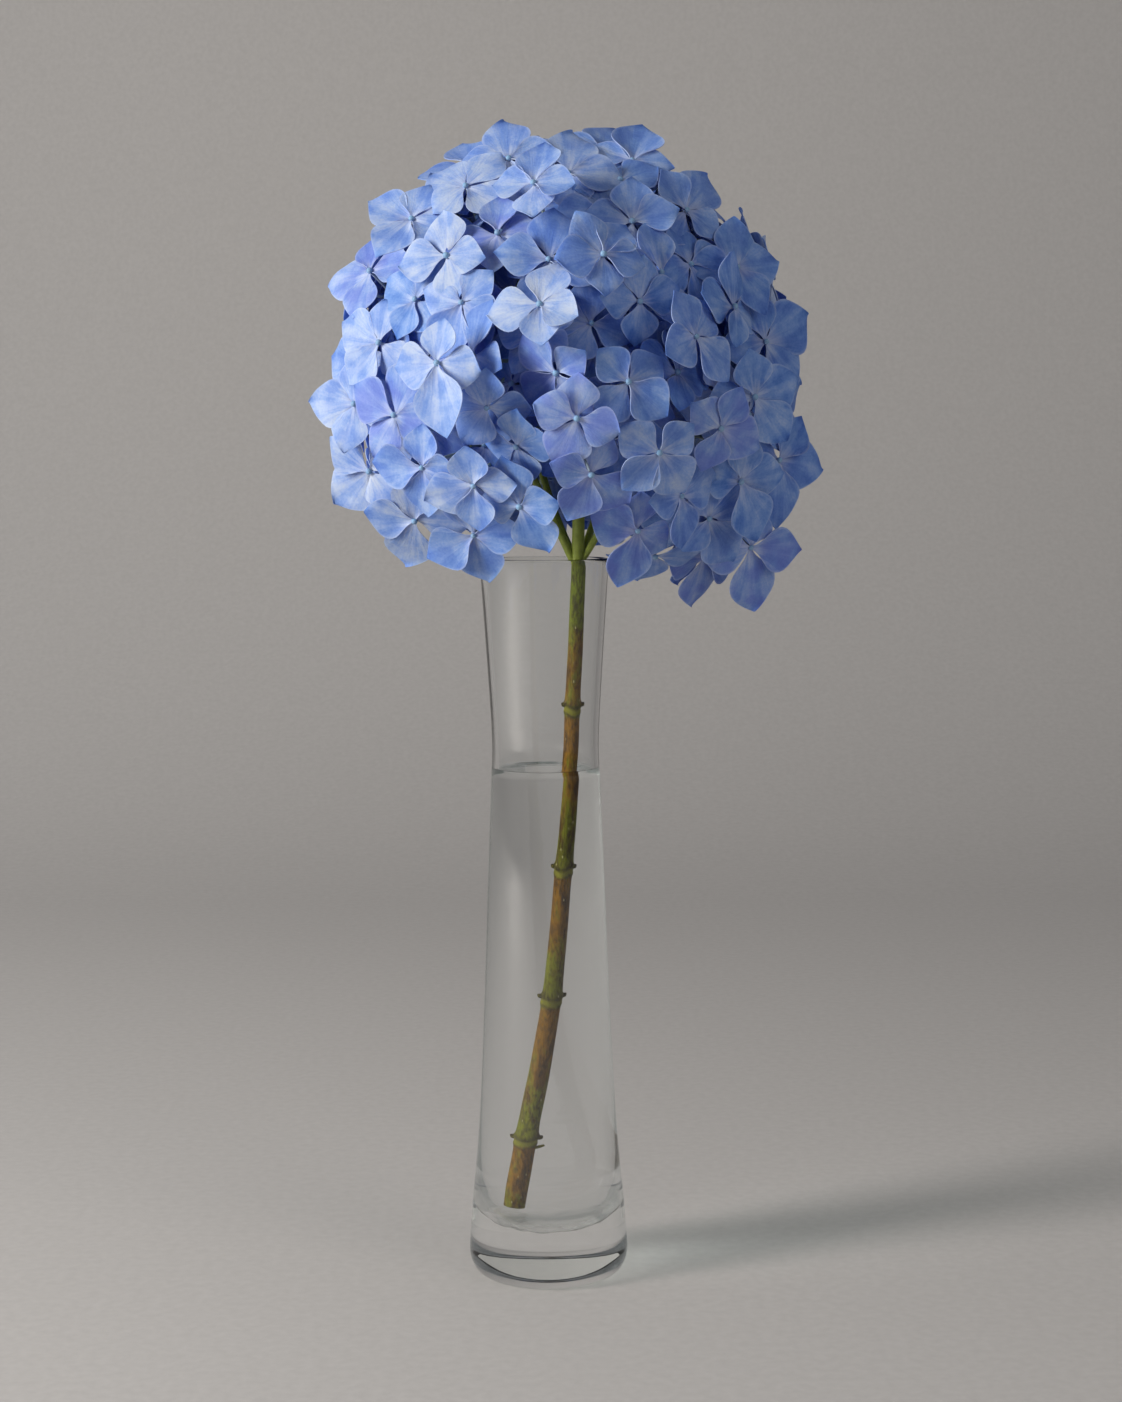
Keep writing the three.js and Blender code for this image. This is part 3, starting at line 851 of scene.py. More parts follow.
@dataclass(frozen=True)
class BarkFinish(Finish):
    """A year-old hydrangea stem: green skin, turning to red-brown bark below each leaf node.

    Small pale lenticels dot it unevenly, a dark scar line rings each node, and the skin under
    the line is still yellow-green. Its patches and grain are drawn out along the stem.
    """

    name: str = "hydrangea_bark"
    fresh: str = "79861F"
    green: str = "6A6B10"
    brown: str = "7E5710"
    dark: str = "261706"
    band: str = "7B7722"
    lenticel: str = "CFC594"
    pith: str = "8C8A4E"
    fresh_from_mm: Pair = (215.0, 245.0)
    patch_mm: float = 2.6
    grain_mm: float = 0.6
    grain_squash: float = 0.28
    lenticel_mm: float = 1.5
    lenticel_squash: float = 0.36
    relief_mm: float = 0.3
    roughness: float = 0.65
    gloss: float = 0.15

    def surface(self, tree: Tree) -> bpy.types.Node:
        """Add the bark, which reads height and the stem's own marks.

        Args:
            tree: the material's node tree.

        Returns:
            The bark's shader.
        """
        place = add_node(tree, "TexCoord").outputs["Object"]
        scar, band, brown, cut = (add_node(tree, "Attribute", attribute_name=name).outputs["Fac"]
                                  for name in ("scar", "band", "brown", "cut"))
        height = add_node(tree, "SeparateXYZ", {0: place}).outputs[2]
        long = add_node(tree, "Mapping", {"Vector": place, "Scale": (1.0, 1.0, self.grain_squash)})
        patches = add_node(tree, "TexNoise", {"Vector": long, "Scale": 1 / (self.patch_mm * MM),
                                              "Detail": 5.0, "Roughness": 0.7})
        grain = add_node(tree, "TexNoise", {"Vector": long, "Scale": 1 / (self.grain_mm * MM),
                                            "Detail": 3.0})
        woody = add_node(tree, "MapRange", {0: patches, 1: 0.3, 2: 0.7, 3: 0.0, 4: 0.7})
        woody = add_node(tree, "Math", {0: woody, 1: brown}, operation="ADD")
        woody = add_node(tree, "MapRange", {0: woody, 1: 0.65, 2: 1.05},
                         interpolation_type="SMOOTHSTEP")
        young = add_node(tree, "MapRange", {0: height, 1: self.fresh_from_mm[0] * MM,
                                            2: self.fresh_from_mm[1] * MM})
        shade = add_node(tree, "MapRange", {0: grain, 1: 0.45, 2: 0.68, 3: 0.0, 4: 0.7})
        blotch = add_node(tree, "MapRange", {0: patches, 1: 0.5, 2: 0.62, 3: 0.0, 4: 0.72})
        speck = self.lenticels(tree, place)
        colour = lay_over(tree, linear(self.green), (
            (young, self.fresh), (woody, self.brown), (blotch, self.dark), (shade, self.dark),
            (band, self.band), (speck, self.lenticel), (scar, self.dark), (cut, self.pith)))
        raised = add_node(tree, "Math", {0: grain, 1: speck}, operation="ADD")
        bump = add_node(tree, "Bump", {"Height": raised, "Strength": 0.9,
                                       "Distance": self.relief_mm * MM})
        return add_node(tree, "BsdfPrincipled", {
            "Base Color": colour, "Roughness": self.roughness, "Specular IOR Level": self.gloss,
            "Normal": bump})

    def lenticels(self, tree: Tree, place: Link) -> Link:
        """Dot the bark with pale pores, in some of the cells that it is divided in.

        Args:
            tree: the material's node tree.
            place: the point's place on the stem.

        Returns:
            What is strongest on a pore.
        """
        dots = add_node(tree, "Mapping", {"Vector": place,
                                          "Scale": (1.0, 1.0, self.lenticel_squash)})
        cells = add_node(tree, "TexVoronoi", {"Vector": dots, "Randomness": 1.0,
                                              "Scale": 1 / (self.lenticel_mm * MM)})
        speck = add_node(tree, "MapRange", {0: cells.outputs["Distance"], 1: 0.06, 2: 0.16,
                                            3: 0.9, 4: 0.0})
        chosen = add_node(tree, "MapRange", {0: cells.outputs["Color"], 1: 0.5, 2: 0.62})
        return add_node(tree, "Math", {0: speck, 1: chosen}, operation="MULTIPLY")


@dataclass(frozen=True)
class ClearFinish(Finish):
    """A clear body that bends light: blown soda-lime glass, or still water.

    Lamps reach what stands inside it, and a ray that is caught in its wall gets out again, as
    both do in the real one.
    """

    name: str
    colour: str
    ior: float
    shade: str
    bounces: float = 6.5

    def surface(self, tree: Tree) -> bpy.types.Node:
        """Add the nodes of the clear body.

        Args:
            tree: the material's node tree.

        Returns:
            The body's shader.
        """
        body = add_node(tree, "BsdfPrincipled", {
            "Base Color": linear(self.colour), "Roughness": 0.0, "IOR": self.ior,
            "Transmission Weight": 1.0})
        clear = add_node(tree, "BsdfTransparent", {"Color": linear(self.shade)})
        path = add_node(tree, "LightPath").outputs
        caught = add_node(tree, "Math", {0: path["Ray Depth"], 1: self.bounces},
                          operation="GREATER_THAN")
        free = add_node(tree, "Math", {0: path["Is Shadow Ray"], 1: caught}, operation="MAXIMUM")
        return add_node(tree, "MixShader", {0: free, 1: body, 2: clear})


@dataclass(frozen=True)
class FloorFinish(Finish):
    """Matt pale paper, whose fine grain only just darkens and lightens it."""

    name: str = "studio_paper"
    colour: str = "BCBABA"
    grain_mm: float = 1 / 0.26
    roughness: float = 0.9

    def surface(self, tree: Tree) -> bpy.types.Node:
        """Add the nodes of the paper.

        Args:
            tree: the material's node tree.

        Returns:
            The paper's shader.
        """
        place = add_node(tree, "TexCoord").outputs["Object"]
        grain = add_node(tree, "TexNoise", {"Vector": place, "Scale": 1 / (self.grain_mm * MM),
                                            "Detail": 4.0})
        return add_node(tree, "BsdfPrincipled", {
            "Base Color": shade_by(tree, linear(self.colour), grain, (0.96, 1.04)),
            "Roughness": self.roughness})


@dataclass
class Vase:
    """The glass vase: flared foot, solid base, narrow waist and a fire-polished rim.

    Profiles are radius and height. A bowl wave is lobes, turn with the radius and phase, and a
    wall wave is lobes, turn with the height, phase and share.
    """

    height: float = 250.0
    foot_flat: float = 22.3
    foot: float = 27.8
    foot_corner: float = 8.6
    rim: float = 22.3
    wall: float = 2.0
    outside: tuple[Pair, ...] = (
        (26.6, 24.7), (24.0, 53.3), (21.9, 96), (20.3, 138), (18.9, 173), (18.55, 189), (20.2, 218))
    inside: tuple[Pair, ...] = (
        (18.1, 218), (16.5, 189), (16.8, 173), (18.1, 138), (19.6, 96), (21.4, 56))
    bowl_floor: Pair = (9.0, 17.5)
    bowl_top: Pair = (22.0, 36.0)
    sides: int = 144
    wall_steps: int = 60
    bowl_steps: int = 16
    foot_steps: int = 12
    lip_steps: int = 10
    waviness: float = 0.05
    wall_waves: tuple[tuple[int, float, float, float], ...] = (
        (5, 0.012, 0.0, 1.0), (9, 0.0, 1.3, 0.5), (16, -0.008, 0.0, 0.25))
    wall_swell_end: float = 70.0
    rim_calm: Pair = (12.0, 2.0)
    bowl_waviness: float = 0.16
    bowl_waves: tuple[tuple[int, float, float], ...] = ((7, 0.9, 0.0), (4, -1.3, 2.0))
    bowl_swell: Pair = (2.0, 10.0)
    bowl_calm: float = 28.0
    base_calm: float = 2.0

    def outer(self) -> list[Vector]:
        """The outside from the foot's widest ring to under the rim, as radius and height."""
        points = [(self.foot, self.foot_corner), *self.outside,
                  (self.rim, self.height - self.wall / 2)]
        return catmull_rom([Vector((r, 0, z)) for r, z in points], self.wall_steps)

    def inner(self) -> list[Vector]:
        """The inside from under the rim down to the bowl's top edge."""
        points = [(self.rim - self.wall, self.height - self.wall / 2), *self.inside, self.bowl_top]
        return catmull_rom([Vector((r, 0, z)) for r, z in points], self.wall_steps)

    def bowl(self, spread: float) -> list[Vector]:
        """Follow the bowl from its top edge to the axis.

        Args:
            spread: how far the bowl is pushed into the glass.

        Returns:
            Points with the radius in x and the height in z.
        """
        depth = self.bowl_top[1] - self.bowl_floor[1] + spread
        radii = (self.bowl_top[0] - self.bowl_floor[0] + spread, depth)
        bend = arc((self.bowl_floor[0], self.bowl_top[1]), radii, 0, -90, self.bowl_steps)
        return bend + [Vector((0, 0, self.bowl_top[1] - depth))]

    def build(self, finish: ClearFinish) -> bpy.types.Object:
        """Spin the glass and give its inside the slight waves of blown glass.

        Args:
            finish: the glass.

        Returns:
            The vase.
        """
        corner = (self.foot - self.foot_flat, self.foot_corner)
        half = self.wall / 2
        profile = [Vector((0, 0, 0))]
        profile += arc((self.foot_flat, self.foot_corner), corner, -90, 0, self.foot_steps)
        profile += self.outer()[1:]
        profile += arc((self.rim - half, self.height - half), (half, half), 0, 180,
                       self.lip_steps)[1:]
        profile += self.inner()[1:]
        profile += self.bowl(0)[1:]
        bm = bmesh.new()
        spin_profile(bm, profile, self.sides)
        outline = self.outer()
        for vert in bm.verts:
            skin = min(outline, key=lambda point: abs(point.z - vert.co.z)).x
            if vert.co.xy.length < skin - half:
                self.ripple(vert)
        return settle(bm, "vase_glass", finish.material(), "vase_glass", "vase")

    def ripple(self, vert: Vert) -> None:
        """Move a vertex of the inside, or of what touches it, by the glass's slow waves.

        Args:
            vert: the vertex, left where it is in the solid base.
        """
        radius, height = vert.co.xy.length, vert.co.z
        angle = math.atan2(vert.co.y, vert.co.x)
        if height < self.bowl_floor[1] - self.base_calm:
            return
        if height < self.bowl_top[1] or radius < self.bowl_floor[0]:
            share = (smooth_step(radius, *self.bowl_swell)
                     * (1 - smooth_step(height, self.bowl_calm, self.bowl_top[1])))
            vert.co.z += self.bowl_waviness * share * sum(
                math.sin(lobes * angle + radius * rate + phase)
                for lobes, rate, phase in self.bowl_waves)
            return
        wave = sum(share * math.sin(lobes * angle + height * rate + phase)
                   for lobes, rate, phase, share in self.wall_waves)
        calm = (smooth_step(height, self.bowl_top[1], self.wall_swell_end)
                * (1 - smooth_step(height, *(self.height - down for down in self.rim_calm))))
        grow = 1 + self.waviness * wave * calm / radius
        vert.co.x *= grow
        vert.co.y *= grow


@dataclass
class Water:
    """The water: it wets the glass, so it climbs a little at the wall and at the stem.

    Its rings crowd towards the wall, and it laps into the glass so that no air lies between.
    """

    vase: Vase
    level: float = 177.0
    climb: float = 0.8
    climb_width: float = 0.9
    stem_climb: float = 0.8
    stem_reach: float = 6.0
    skin_depth: float = 0.5
    overlap: float = 0.25
    sides: int = 144
    rings: int = 30
    crowding: float = 1.8

    def build(self, stem_at_level: Vector, stem_radius: float,
              finish: ClearFinish) -> bpy.types.Object:
        """Spin the water and raise its skin round the stem.

        Args:
            stem_at_level: where the stem's middle passes the surface.
            stem_radius: how thick the stem is there.
            finish: the water's material.

        Returns:
            The water's object.
        """
        wall = [Vector((point.x + self.overlap, 0, point.z)) for point in self.vase.inner()
                if point.z < self.level + self.climb]
        edge = wall[0].x
        rings = [edge * (1 - (1 - i / self.rings) ** self.crowding)
                 for i in range(self.rings + 1)]
        skin = [Vector((r, 0, self.level + self.climb * math.exp((r - edge) / self.climb_width)))
                for r in rings]
        profile = skin + wall[1:] + self.vase.bowl(self.overlap)[1:]
        bm = bmesh.new()
        spin_profile(bm, profile, self.sides)
        for vert in bm.verts:
            self.vase.ripple(vert)
            away = (vert.co.xy - stem_at_level.xy).length - stem_radius
            if vert.co.z > self.level - self.skin_depth and away < self.stem_reach:
                lift = self.climb * self.stem_climb * math.exp(-max(away, 0) / self.climb_width)
                vert.co.z = max(vert.co.z, self.level + lift)
        return settle(bm, "vase_water", finish.material(), "water", "water")


@dataclass
class Stem:
    """The woody main stem, cut square at the foot, with a scarred ring at each leaf node.

    A rib is its rise, how many go round, and its turn with the height.
    """

    path_mm: tuple[Point, ...] = (
        (-8.5, 8.2, 19.6), (-5.4, 5.2, 46), (1.3, -1.2, 99), (4.9, -6.0, 142),
        (8.1, -8.9, 178), (9.3, -9.4, 202), (11.3, -12.9, 246), (11.4, -12.8, 251))
    foot_radius: float = 2.7
    top_radius: float = 2.3
    fork_length: float = 4.0
    fork_taper: float = 0.3
    node_heights: tuple[float, ...] = (47, 98, 144, 200, 252.5)
    node_turns: Pair = (0.2, -0.25)
    collar: float = 0.55
    collar_width: float = 0.95
    collar_shares: Pair = (0.45, 0.55)
    heel: float = 0.5
    heel_width: float = 0.8
    swelling: float = 0.15
    swelling_width: float = 3.5
    ribs: tuple[tuple[float, int, float], ...] = ((0.06, 3, 0.09), (0.04, 7, 0.21))
    scar_rise: float = 1.5
    scar_share: float = 0.75
    scar_width: float = 0.75
    scar_above: float = 0.1
    lower_scar_share: float = 0.7
    lower_scar_width: float = 0.45
    band_width: float = 2.6
    band_share: float = 0.75
    band_foot: Pair = (-0.5, 0.3)
    band_end: Pair = (-0.8, -0.1)
    bark_top: float = 236.0
    bark_fade: float = 16.0
    top_brown: float = 0.56
    node_brown: float = 0.75
    brown_start: Pair = (0.03, 0.1)
    brown_fade: Pair = (0.3, 0.9)
    brown_loss: float = 0.6
    under_foot: float = 10.0
    steps: int = 400
    sides: int = 24
    cut_rings: Point = (0.25, 1.2, 0.12)
    pith_depth: float = 0.3
    wood_paleness: float = 0.7
    bud_length: float = 1.9
    bud_breadths: Pair = (0.8, 0.9)
    bud_taper: float = 0.4
    bud_darkness: Pair = (0.4, 0.5)
    bud_rise: float = 0.5
    bud_out: float = 0.65
    stub: Point = (-5.5, 4.9, 43.2)
    stub_step: Point = (0.9, -0.1, 0.05)
    stub_radii: tuple[float, ...] = (0.75, 0.7, 0.62, 0.55, 0.5, 0.36)
    stub_sides: int = 10
    stub_green: float = 0.6
    marks: tuple[str, ...] = ("scar", "band", "brown", "cut")

    def __post_init__(self) -> None:
        """Lay out the stem's middle line in fine steps."""
        self.line = catmull_rom([Vector(point) for point in self.path_mm], self.steps)

    def at_height(self, height: float) -> Vector:
        """The stem's middle at a height."""
        return min(self.line, key=lambda point: abs(point.z - height))

    def radius(self, height: float) -> float:
        """Find the stem's thickness, without its collars and less where the rays part.

        Args:
            height: the height.

        Returns:
            The radius there.
        """
        low, high = self.path_mm[0][2], self.path_mm[-1][2]
        part = (height - low) / (high - low)
        fork = 1 - self.fork_taper * smooth_step(height, high - self.fork_length, high)
        return (self.foot_radius + (self.top_radius - self.foot_radius) * part) * fork

    def brownness(self, height: float) -> float:
        """Find how far the bark has formed: most just below each leaf node.

        Args:
            height: the height.

        Returns:
            0 for green skin to 1 for bark.
        """
        above = next((node for node in self.node_heights if node > height), height)
        if above in (self.node_heights[-1], height):
            fade = smooth_step(height, self.bark_top - self.bark_fade, self.bark_top)
            return self.top_brown * (1 - fade)
        below = max((node for node in self.node_heights if node <= height),
                    default=self.path_mm[0][2] - self.under_foot)
        part = (above - height) / (above - below)
        return (self.node_brown * smooth_step(part, *self.brown_start)
                * (1 - self.brown_loss * smooth_step(part, *self.brown_fade)))

    def build(self, finish: BarkFinish) -> bpy.types.Object:
        """Sweep the stem, raise its collars and scars, and add the buds.

        Args:
            finish: the bark.

        Returns:
            The stem.
        """
        bm = bmesh.new()
        for mark in self.marks:
            bm.verts.layers.float.new(mark)
        rings = tube(bm, self.line, [self.radius(point.z) for point in self.line], self.sides)
        for middle, ring in zip(self.line, rings):
            for vert in ring:
                self.shape_vertex(bm, vert, middle)
        self.hollow_the_cut(bm, rings[0])
        bmesh.ops.recalc_face_normals(bm, faces=bm.faces)
        for i, height in enumerate(self.node_heights[:-1]):
            self.add_buds(bm, height, self.node_turns[i % 2])
        self.add_stub(bm)
        return settle(bm, "stem_bark", finish.material(), "stem_bark", "stem")

    def shape_vertex(self, bm: Bmesh, vert: Vert, middle: Vector) -> None:
        """Swell a vertex into its node's ring and mark scar, band and bark on it.

        Args:
            bm: the stem's mesh.
            vert: the vertex.
            middle: the stem's middle at the vertex's ring.
        """
        out = vert.co - middle
        across = math.atan2(out.y, out.x)
        height = vert.co.z
        scar = band = 0.0
        swell = sum(rise * math.sin(across * lobes + height * rate)
                    for rise, lobes, rate in self.ribs)
        for i, node in enumerate(self.node_heights[:-1]):
            sides = math.cos(across + self.node_turns[i % 2]) ** 2
            away = height - node - self.scar_rise * (sides - 0.5)
            ridge = bell(away, 0, self.collar_width)
            heel = self.heel * bell(away, -self.band_width, self.heel_width)
            rise = self.collar_shares[0] + self.collar_shares[1] * sides
            swell += self.collar * rise * max(ridge, heel)
            swell += self.swelling * bell(away, 0, self.swelling_width)
            foot, full = (edge - self.band_width for edge in self.band_foot)
            scar = max(scar, self.scar_share * bell(away, self.scar_above, self.scar_width),
                       self.lower_scar_share * bell(away, foot, self.lower_scar_width))
            inside = smooth_step(away, foot, full) * (1 - smooth_step(away, *self.band_end))
            band = max(band, self.band_share * inside)
        vert.co = middle + out * (1 + swell / self.radius(middle.z))
        for mark, share in zip(self.marks, (scar, band, self.brownness(height), 0.0)):
            vert[bm.verts.layers.float[mark]] = share

    def hollow_the_cut(self, bm: Bmesh, ring: list[Vert]) -> None:
        """Sink the pale pith inside the cut end's ring of wood.

        Args:
            bm: the stem's mesh.
            ring: the stem's lowest ring.
        """
        cut = bm.verts.layers.float["cut"]
        cap = next(face for face in ring[0].link_faces if len(face.verts) == self.sides)
        rim, wood_ring, step = self.cut_rings
        wood = bmesh.ops.inset_region(bm, faces=[cap], thickness=rim)["faces"]
        for face in wood + [cap]:
            for vert in face.verts:
                vert[cut] = self.wood_paleness
        bmesh.ops.inset_region(bm, faces=[cap], thickness=wood_ring)
        bmesh.ops.inset_region(bm, faces=[cap], thickness=step, depth=-self.pith_depth)
        for vert in cap.verts:
            vert[cut] = 1.0

    def add_buds(self, bm: Bmesh, height: float, turn: float) -> None:
        """Set a small round dormant bud on each side of a node.

        Args:
            bm: the stem's mesh.
            height: the node's height.
            turn: how far the node's pair of leaves was turned.
        """
        scar = bm.verts.layers.float["scar"]
        middle = self.at_height(height + self.bud_rise)
        for side in (0, math.pi):
            out = Vector((math.cos(side - turn), math.sin(side - turn), 0))
            lean = (out + UP).normalized()
            bud = bmesh.ops.create_uvsphere(bm, u_segments=12, v_segments=8, radius=1)["verts"]
            for vert in bud:
                tip = max(0.0, vert.co.z)
                vert[scar] = self.bud_darkness[0] + self.bud_darkness[1] * tip
                vert.co.x *= 1 - self.bud_taper * tip
                vert.co.y *= 1 - self.bud_taper * tip
            turn_to = UP.rotation_difference(lean).to_matrix().to_4x4()
            size = Matrix.Diagonal((*self.bud_breadths, self.bud_length / 2, 1))
            spot = middle + out * (self.radius(height) + self.bud_out)
            bmesh.ops.transform(bm, matrix=Matrix.Translation(spot) @ turn_to @ size, verts=bud)

    def add_stub(self, bm: Bmesh) -> None:
        """Leave the short green stub of a side shoot under the lowest node.

        Args:
            bm: the stem's mesh.
        """
        out, across, rise = self.stub_step
        path = [Vector(self.stub) + Vector((out * i, across * i, rise * i * i))
                for i in range(len(self.stub_radii))]
        made = tube(bm, path, self.stub_radii, self.stub_sides)
        band = bm.verts.layers.float["band"]
        for vert in [vert for ring in made for vert in ring]:
            vert[band] = self.stub_green
        bmesh.ops.recalc_face_normals(bm, faces=bm.faces)


@dataclass(frozen=True)
class HiddenRule:
    """How the florets of one layer that the photograph doesn't show are drawn.

    They lie on a round of a radius, from the top down to the lowest angle, with chance depths.
    The lean is in degrees, the size is a share of the seen sepals', and tones are depths of blue.
    """

    count: int
    radius: float
    lowest: float
    shift: float
    depths: Pair
    lean: float
    size: float
    tones: Pair


@dataclass
class Mophead:
    """The flower head: florets on the round of the head, in front, behind and within."""

    view: PhotoView
    centre: Vector = field(default_factory=lambda: Vector((7.7, -8.0, 313.0)))
    radius: float = 77.0
    sepal_length: float = 17.0
    sepal_faces: tuple[int, int] = (8, 4)
    kinds: int = 8
    shape_ranges: tuple[Pair, ...] = (
        (-0.06, 0.12), (0.02, 0.14), (-0.02, 0.18), (0.01, 0.035), (0.006, 0.018),
        (0, FULL_TURN), (-0.06, 0.06), (0.9, 1.12))
    least_point: float = 0.3
    kind_shade: float = 0.06
    thickness: float = 0.24
    pair_lift: float = 0.45
    claw_gap: float = 0.4
    breadth_power: float = -0.4
    breadths: Pair = (0.94, 1.1)
    pitches: Pair = (-5, 8)
    upper_pitch: float = 0.05
    edge_crowding: float = 0.06
    fan_start: float = 0.08
    outward_share: float = 0.75
    camera_share: float = 0.35
    leans: range = range(0, 43, 7)
    lean_turns: int = 16
    lean_cost: float = 0.1
    lean_scale: float = 50.0
    turn_cost: float = 0.4
    least_facing: float = 0.3
    tip_swing: float = 0.35
    tip_lengths: Pair = (0.8, 1.55)
    plain_swing: float = 0.08
    plain_lengths: Pair = (0.95, 1.1)
    back_rule: HiddenRule = HiddenRule(190, 77.0, 131.0, 0.0, (-5, 2.5), 16, 1.05, (0.25, 0.7))
    inner_rule: HiddenRule = HiddenRule(120, 64.0, 119.0, 0.8, (-3, 3), 22, 0.95, (0.35, 0.65))
    ruled_violets: Pair = (0.1, 0.8)
    ruled_swing: float = 0.1
    ruled_lengths: Pair = (0.9, 1.1)
    back_spacing: float = 16.8
    back_edge: float = 0.25
    limb: Pair = (-0.45, -0.1)
    limb_sink: float = 5.0
    neighbour_mm: float = 45.0
    parting_rounds: int = 10
    parting_step: float = 1.0
    parting_turn: float = 0.015
    tucks: int = 5
    tuck_step: float = 2.0
    bud_rise: float = 0.8
    bud_sizes: Pair = (0.9, 1.12)
    bud_flatness: float = 0.9
    chance: random.Random = field(default_factory=lambda: random.Random(11))

    def __post_init__(self) -> None:
        """Find the direction to the camera and place every floret."""
        self.to_camera = (self.view.place - self.centre).normalized()
        self.front = [self.seen_floret(mark) for mark in FRONT_FLORETS]
        blades = [self.sepal_mesh(shape) for shape in self.shapes()]
        self.part_neighbours(blades)
        self.back = self.back_florets(self.back_rule)
        self.inner = self.inner_florets(self.inner_rule)
        self.tuck_in(blades)
        for blade in blades:
            bpy.data.meshes.remove(blade)

    @property
    def florets(self) -> list[Floret]:
        """Every floret, from the front to the inside."""
        return self.front + self.back + self.inner

    def seen_floret(self, mark: FloretMark) -> Floret:
        """Stand a floret of the photograph on the head, turned as its tips show.

        Args:
            mark: the floret as read from the photograph.

        Returns:
            The floret with its sepals.
        """
        point = self.view.on_sphere(mark.centre, self.centre, self.radius + mark.proud_mm)
        floret = Floret(point, self.best_facing(mark, point), *mark.tone.value)
        slots = self.lay_tips(mark, floret)
        for slot in range(mark.sepals):
            even = slots[0][0] + slot * FULL_TURN / mark.sepals
            plain = (even + self.chance.uniform(-self.plain_swing, self.plain_swing),
                     self.sepal_length * self.chance.uniform(*self.plain_lengths))
            angle, length = slots.get(slot, plain)
            kind = self.chance.randrange(self.kinds // 2 if slot in slots else 0, self.kinds)
            floret.sepals.append(self.sepal(angle, length, slot, kind))
        return floret

    def lay_tips(self, mark: FloretMark, floret: Floret) -> dict[int, Pair]:
        """Lay a mark's tips on the plane of its floret.

        Args:
            mark: the floret as read from the photograph.
            floret: where it stands and faces.

        Returns:
            The angle and length of each sepal whose tip was read, by its place in the round.
        """
        inverse = floret.place().inverted()
        reaches = [inverse @ self.view.on_plane(tip, floret.centre, floret.facing)
                   for tip in mark.tips]
        spacing = FULL_TURN / mark.sepals
        shortest, longest = (self.sepal_length * share for share in self.tip_lengths)
        first = math.atan2(reaches[0].y, reaches[0].x)
        slots = {}
        for reach in reaches:
            turn = math.atan2(reach.y, reach.x) - first
            off = max(-self.tip_swing, min(self.tip_swing, math.remainder(turn, spacing)))
            slot = round(turn / spacing) % mark.sepals
            length = min(max(reach.length, shortest), longest)
            slots.setdefault(slot, (first + slot * spacing + off, length))
        return slots

    def toward(self, point: Vector) -> Vector:
        """Where a floret at a point would face: outward, and a little to the camera."""
        outward = (point - self.centre).normalized()
        return (outward * self.outward_share + self.to_camera * self.camera_share).normalized()

    def best_facing(self, mark: FloretMark, point: Vector) -> Vector:
        """Search for the facing whose sepals come out most even and natural in length.

        Args:
            mark: the floret as read from the photograph.
            point: where its middle is.

        Returns:
            The facing, leaned from outward by no more than the tips ask for.
        """
        toward = self.toward(point)
        across = toward.orthogonal().normalized()
        best, least = toward, float("inf")
        for lean in self.leans:
            for step in range(self.lean_turns):
                axis = Quaternion(toward, step * FULL_TURN / self.lean_turns) @ across
                facing = Quaternion(axis, math.radians(lean)) @ toward
                if facing.dot(self.to_camera) < self.least_facing:
                    continue
                cost = self.misfit(mark, point, facing)
                cost += self.lean_cost * (lean / self.lean_scale) ** 2
                if cost < least:
                    best, least = facing, cost
        return best

    def misfit(self, mark: FloretMark, point: Vector, facing: Vector) -> float:
        """Measure how uneven the tips come out when they are laid on a floret's plane.

        Args:
            mark: the floret as read from the photograph.
            point: where its middle is.
            facing: the plane's normal.

        Returns:
            The mean misfit of the sepals' lengths and angles, 0 for a perfect floret.
        """
        level = facing.rotation_difference(UP)
        reaches = [level @ (self.view.on_plane(tip, point, facing) - point) for tip in mark.tips]
        first = math.atan2(reaches[0].y, reaches[0].x)
        wrong = 0.0
        for reach in reaches:
            turn = math.atan2(reach.y, reach.x) - first
            off = math.remainder(turn, FULL_TURN / mark.sepals)
            wrong += (reach.length / self.sepal_length - 1) ** 2 + self.turn_cost * off * off
        return wrong / len(reaches)

    def sepal(self, angle: float, length: float, slot: int, kind: int) -> Sepal:
        """Draw the chance details of one sepal.

        Args:
            angle: where it points in its floret.
            length: its length.
            slot: its place in the round, of which the odd ones lie on top and rise a little.
            kind: the number of its shape.

        Returns:
            The sepal, narrower for its length where it is long.
        """
        stretch = (length / self.sepal_length) ** self.breadth_power
        breadth = stretch * self.chance.uniform(*self.breadths)
        pitch = math.radians(self.chance.uniform(*self.pitches))
        return Sepal(angle, length, breadth, pitch + slot % 2 * self.upper_pitch, kind)

    def ruled_floret(self, point: Vector, rule: HiddenRule) -> Floret:
        """Make a floret that the photograph doesn't show, facing nearly outward.

        Args:
            point: where its middle is.
            rule: its layer's rule.

        Returns:
            The floret with its four sepals.
        """
        depth = self.chance.uniform(*rule.tones)
        outward = (point - self.centre).normalized()
        axis = Quaternion(outward, self.chance.uniform(0, FULL_TURN)) @ outward.orthogonal()
        facing = Quaternion(axis, math.radians(self.chance.uniform(0, rule.lean))) @ outward
        floret = Floret(point, facing, depth, self.chance.uniform(*self.ruled_violets))
        first = self.chance.uniform(0, FULL_TURN)
        for slot in range(4):
            swing = self.chance.uniform(-self.ruled_swing, self.ruled_swing)
            angle = first + slot * FULL_TURN / 4 + swing
            length = self.sepal_length * rule.size * self.chance.uniform(*self.ruled_lengths)
            kind = self.chance.randrange(self.kinds)
            floret.sepals.append(self.sepal(angle, length, slot, kind))
        return floret

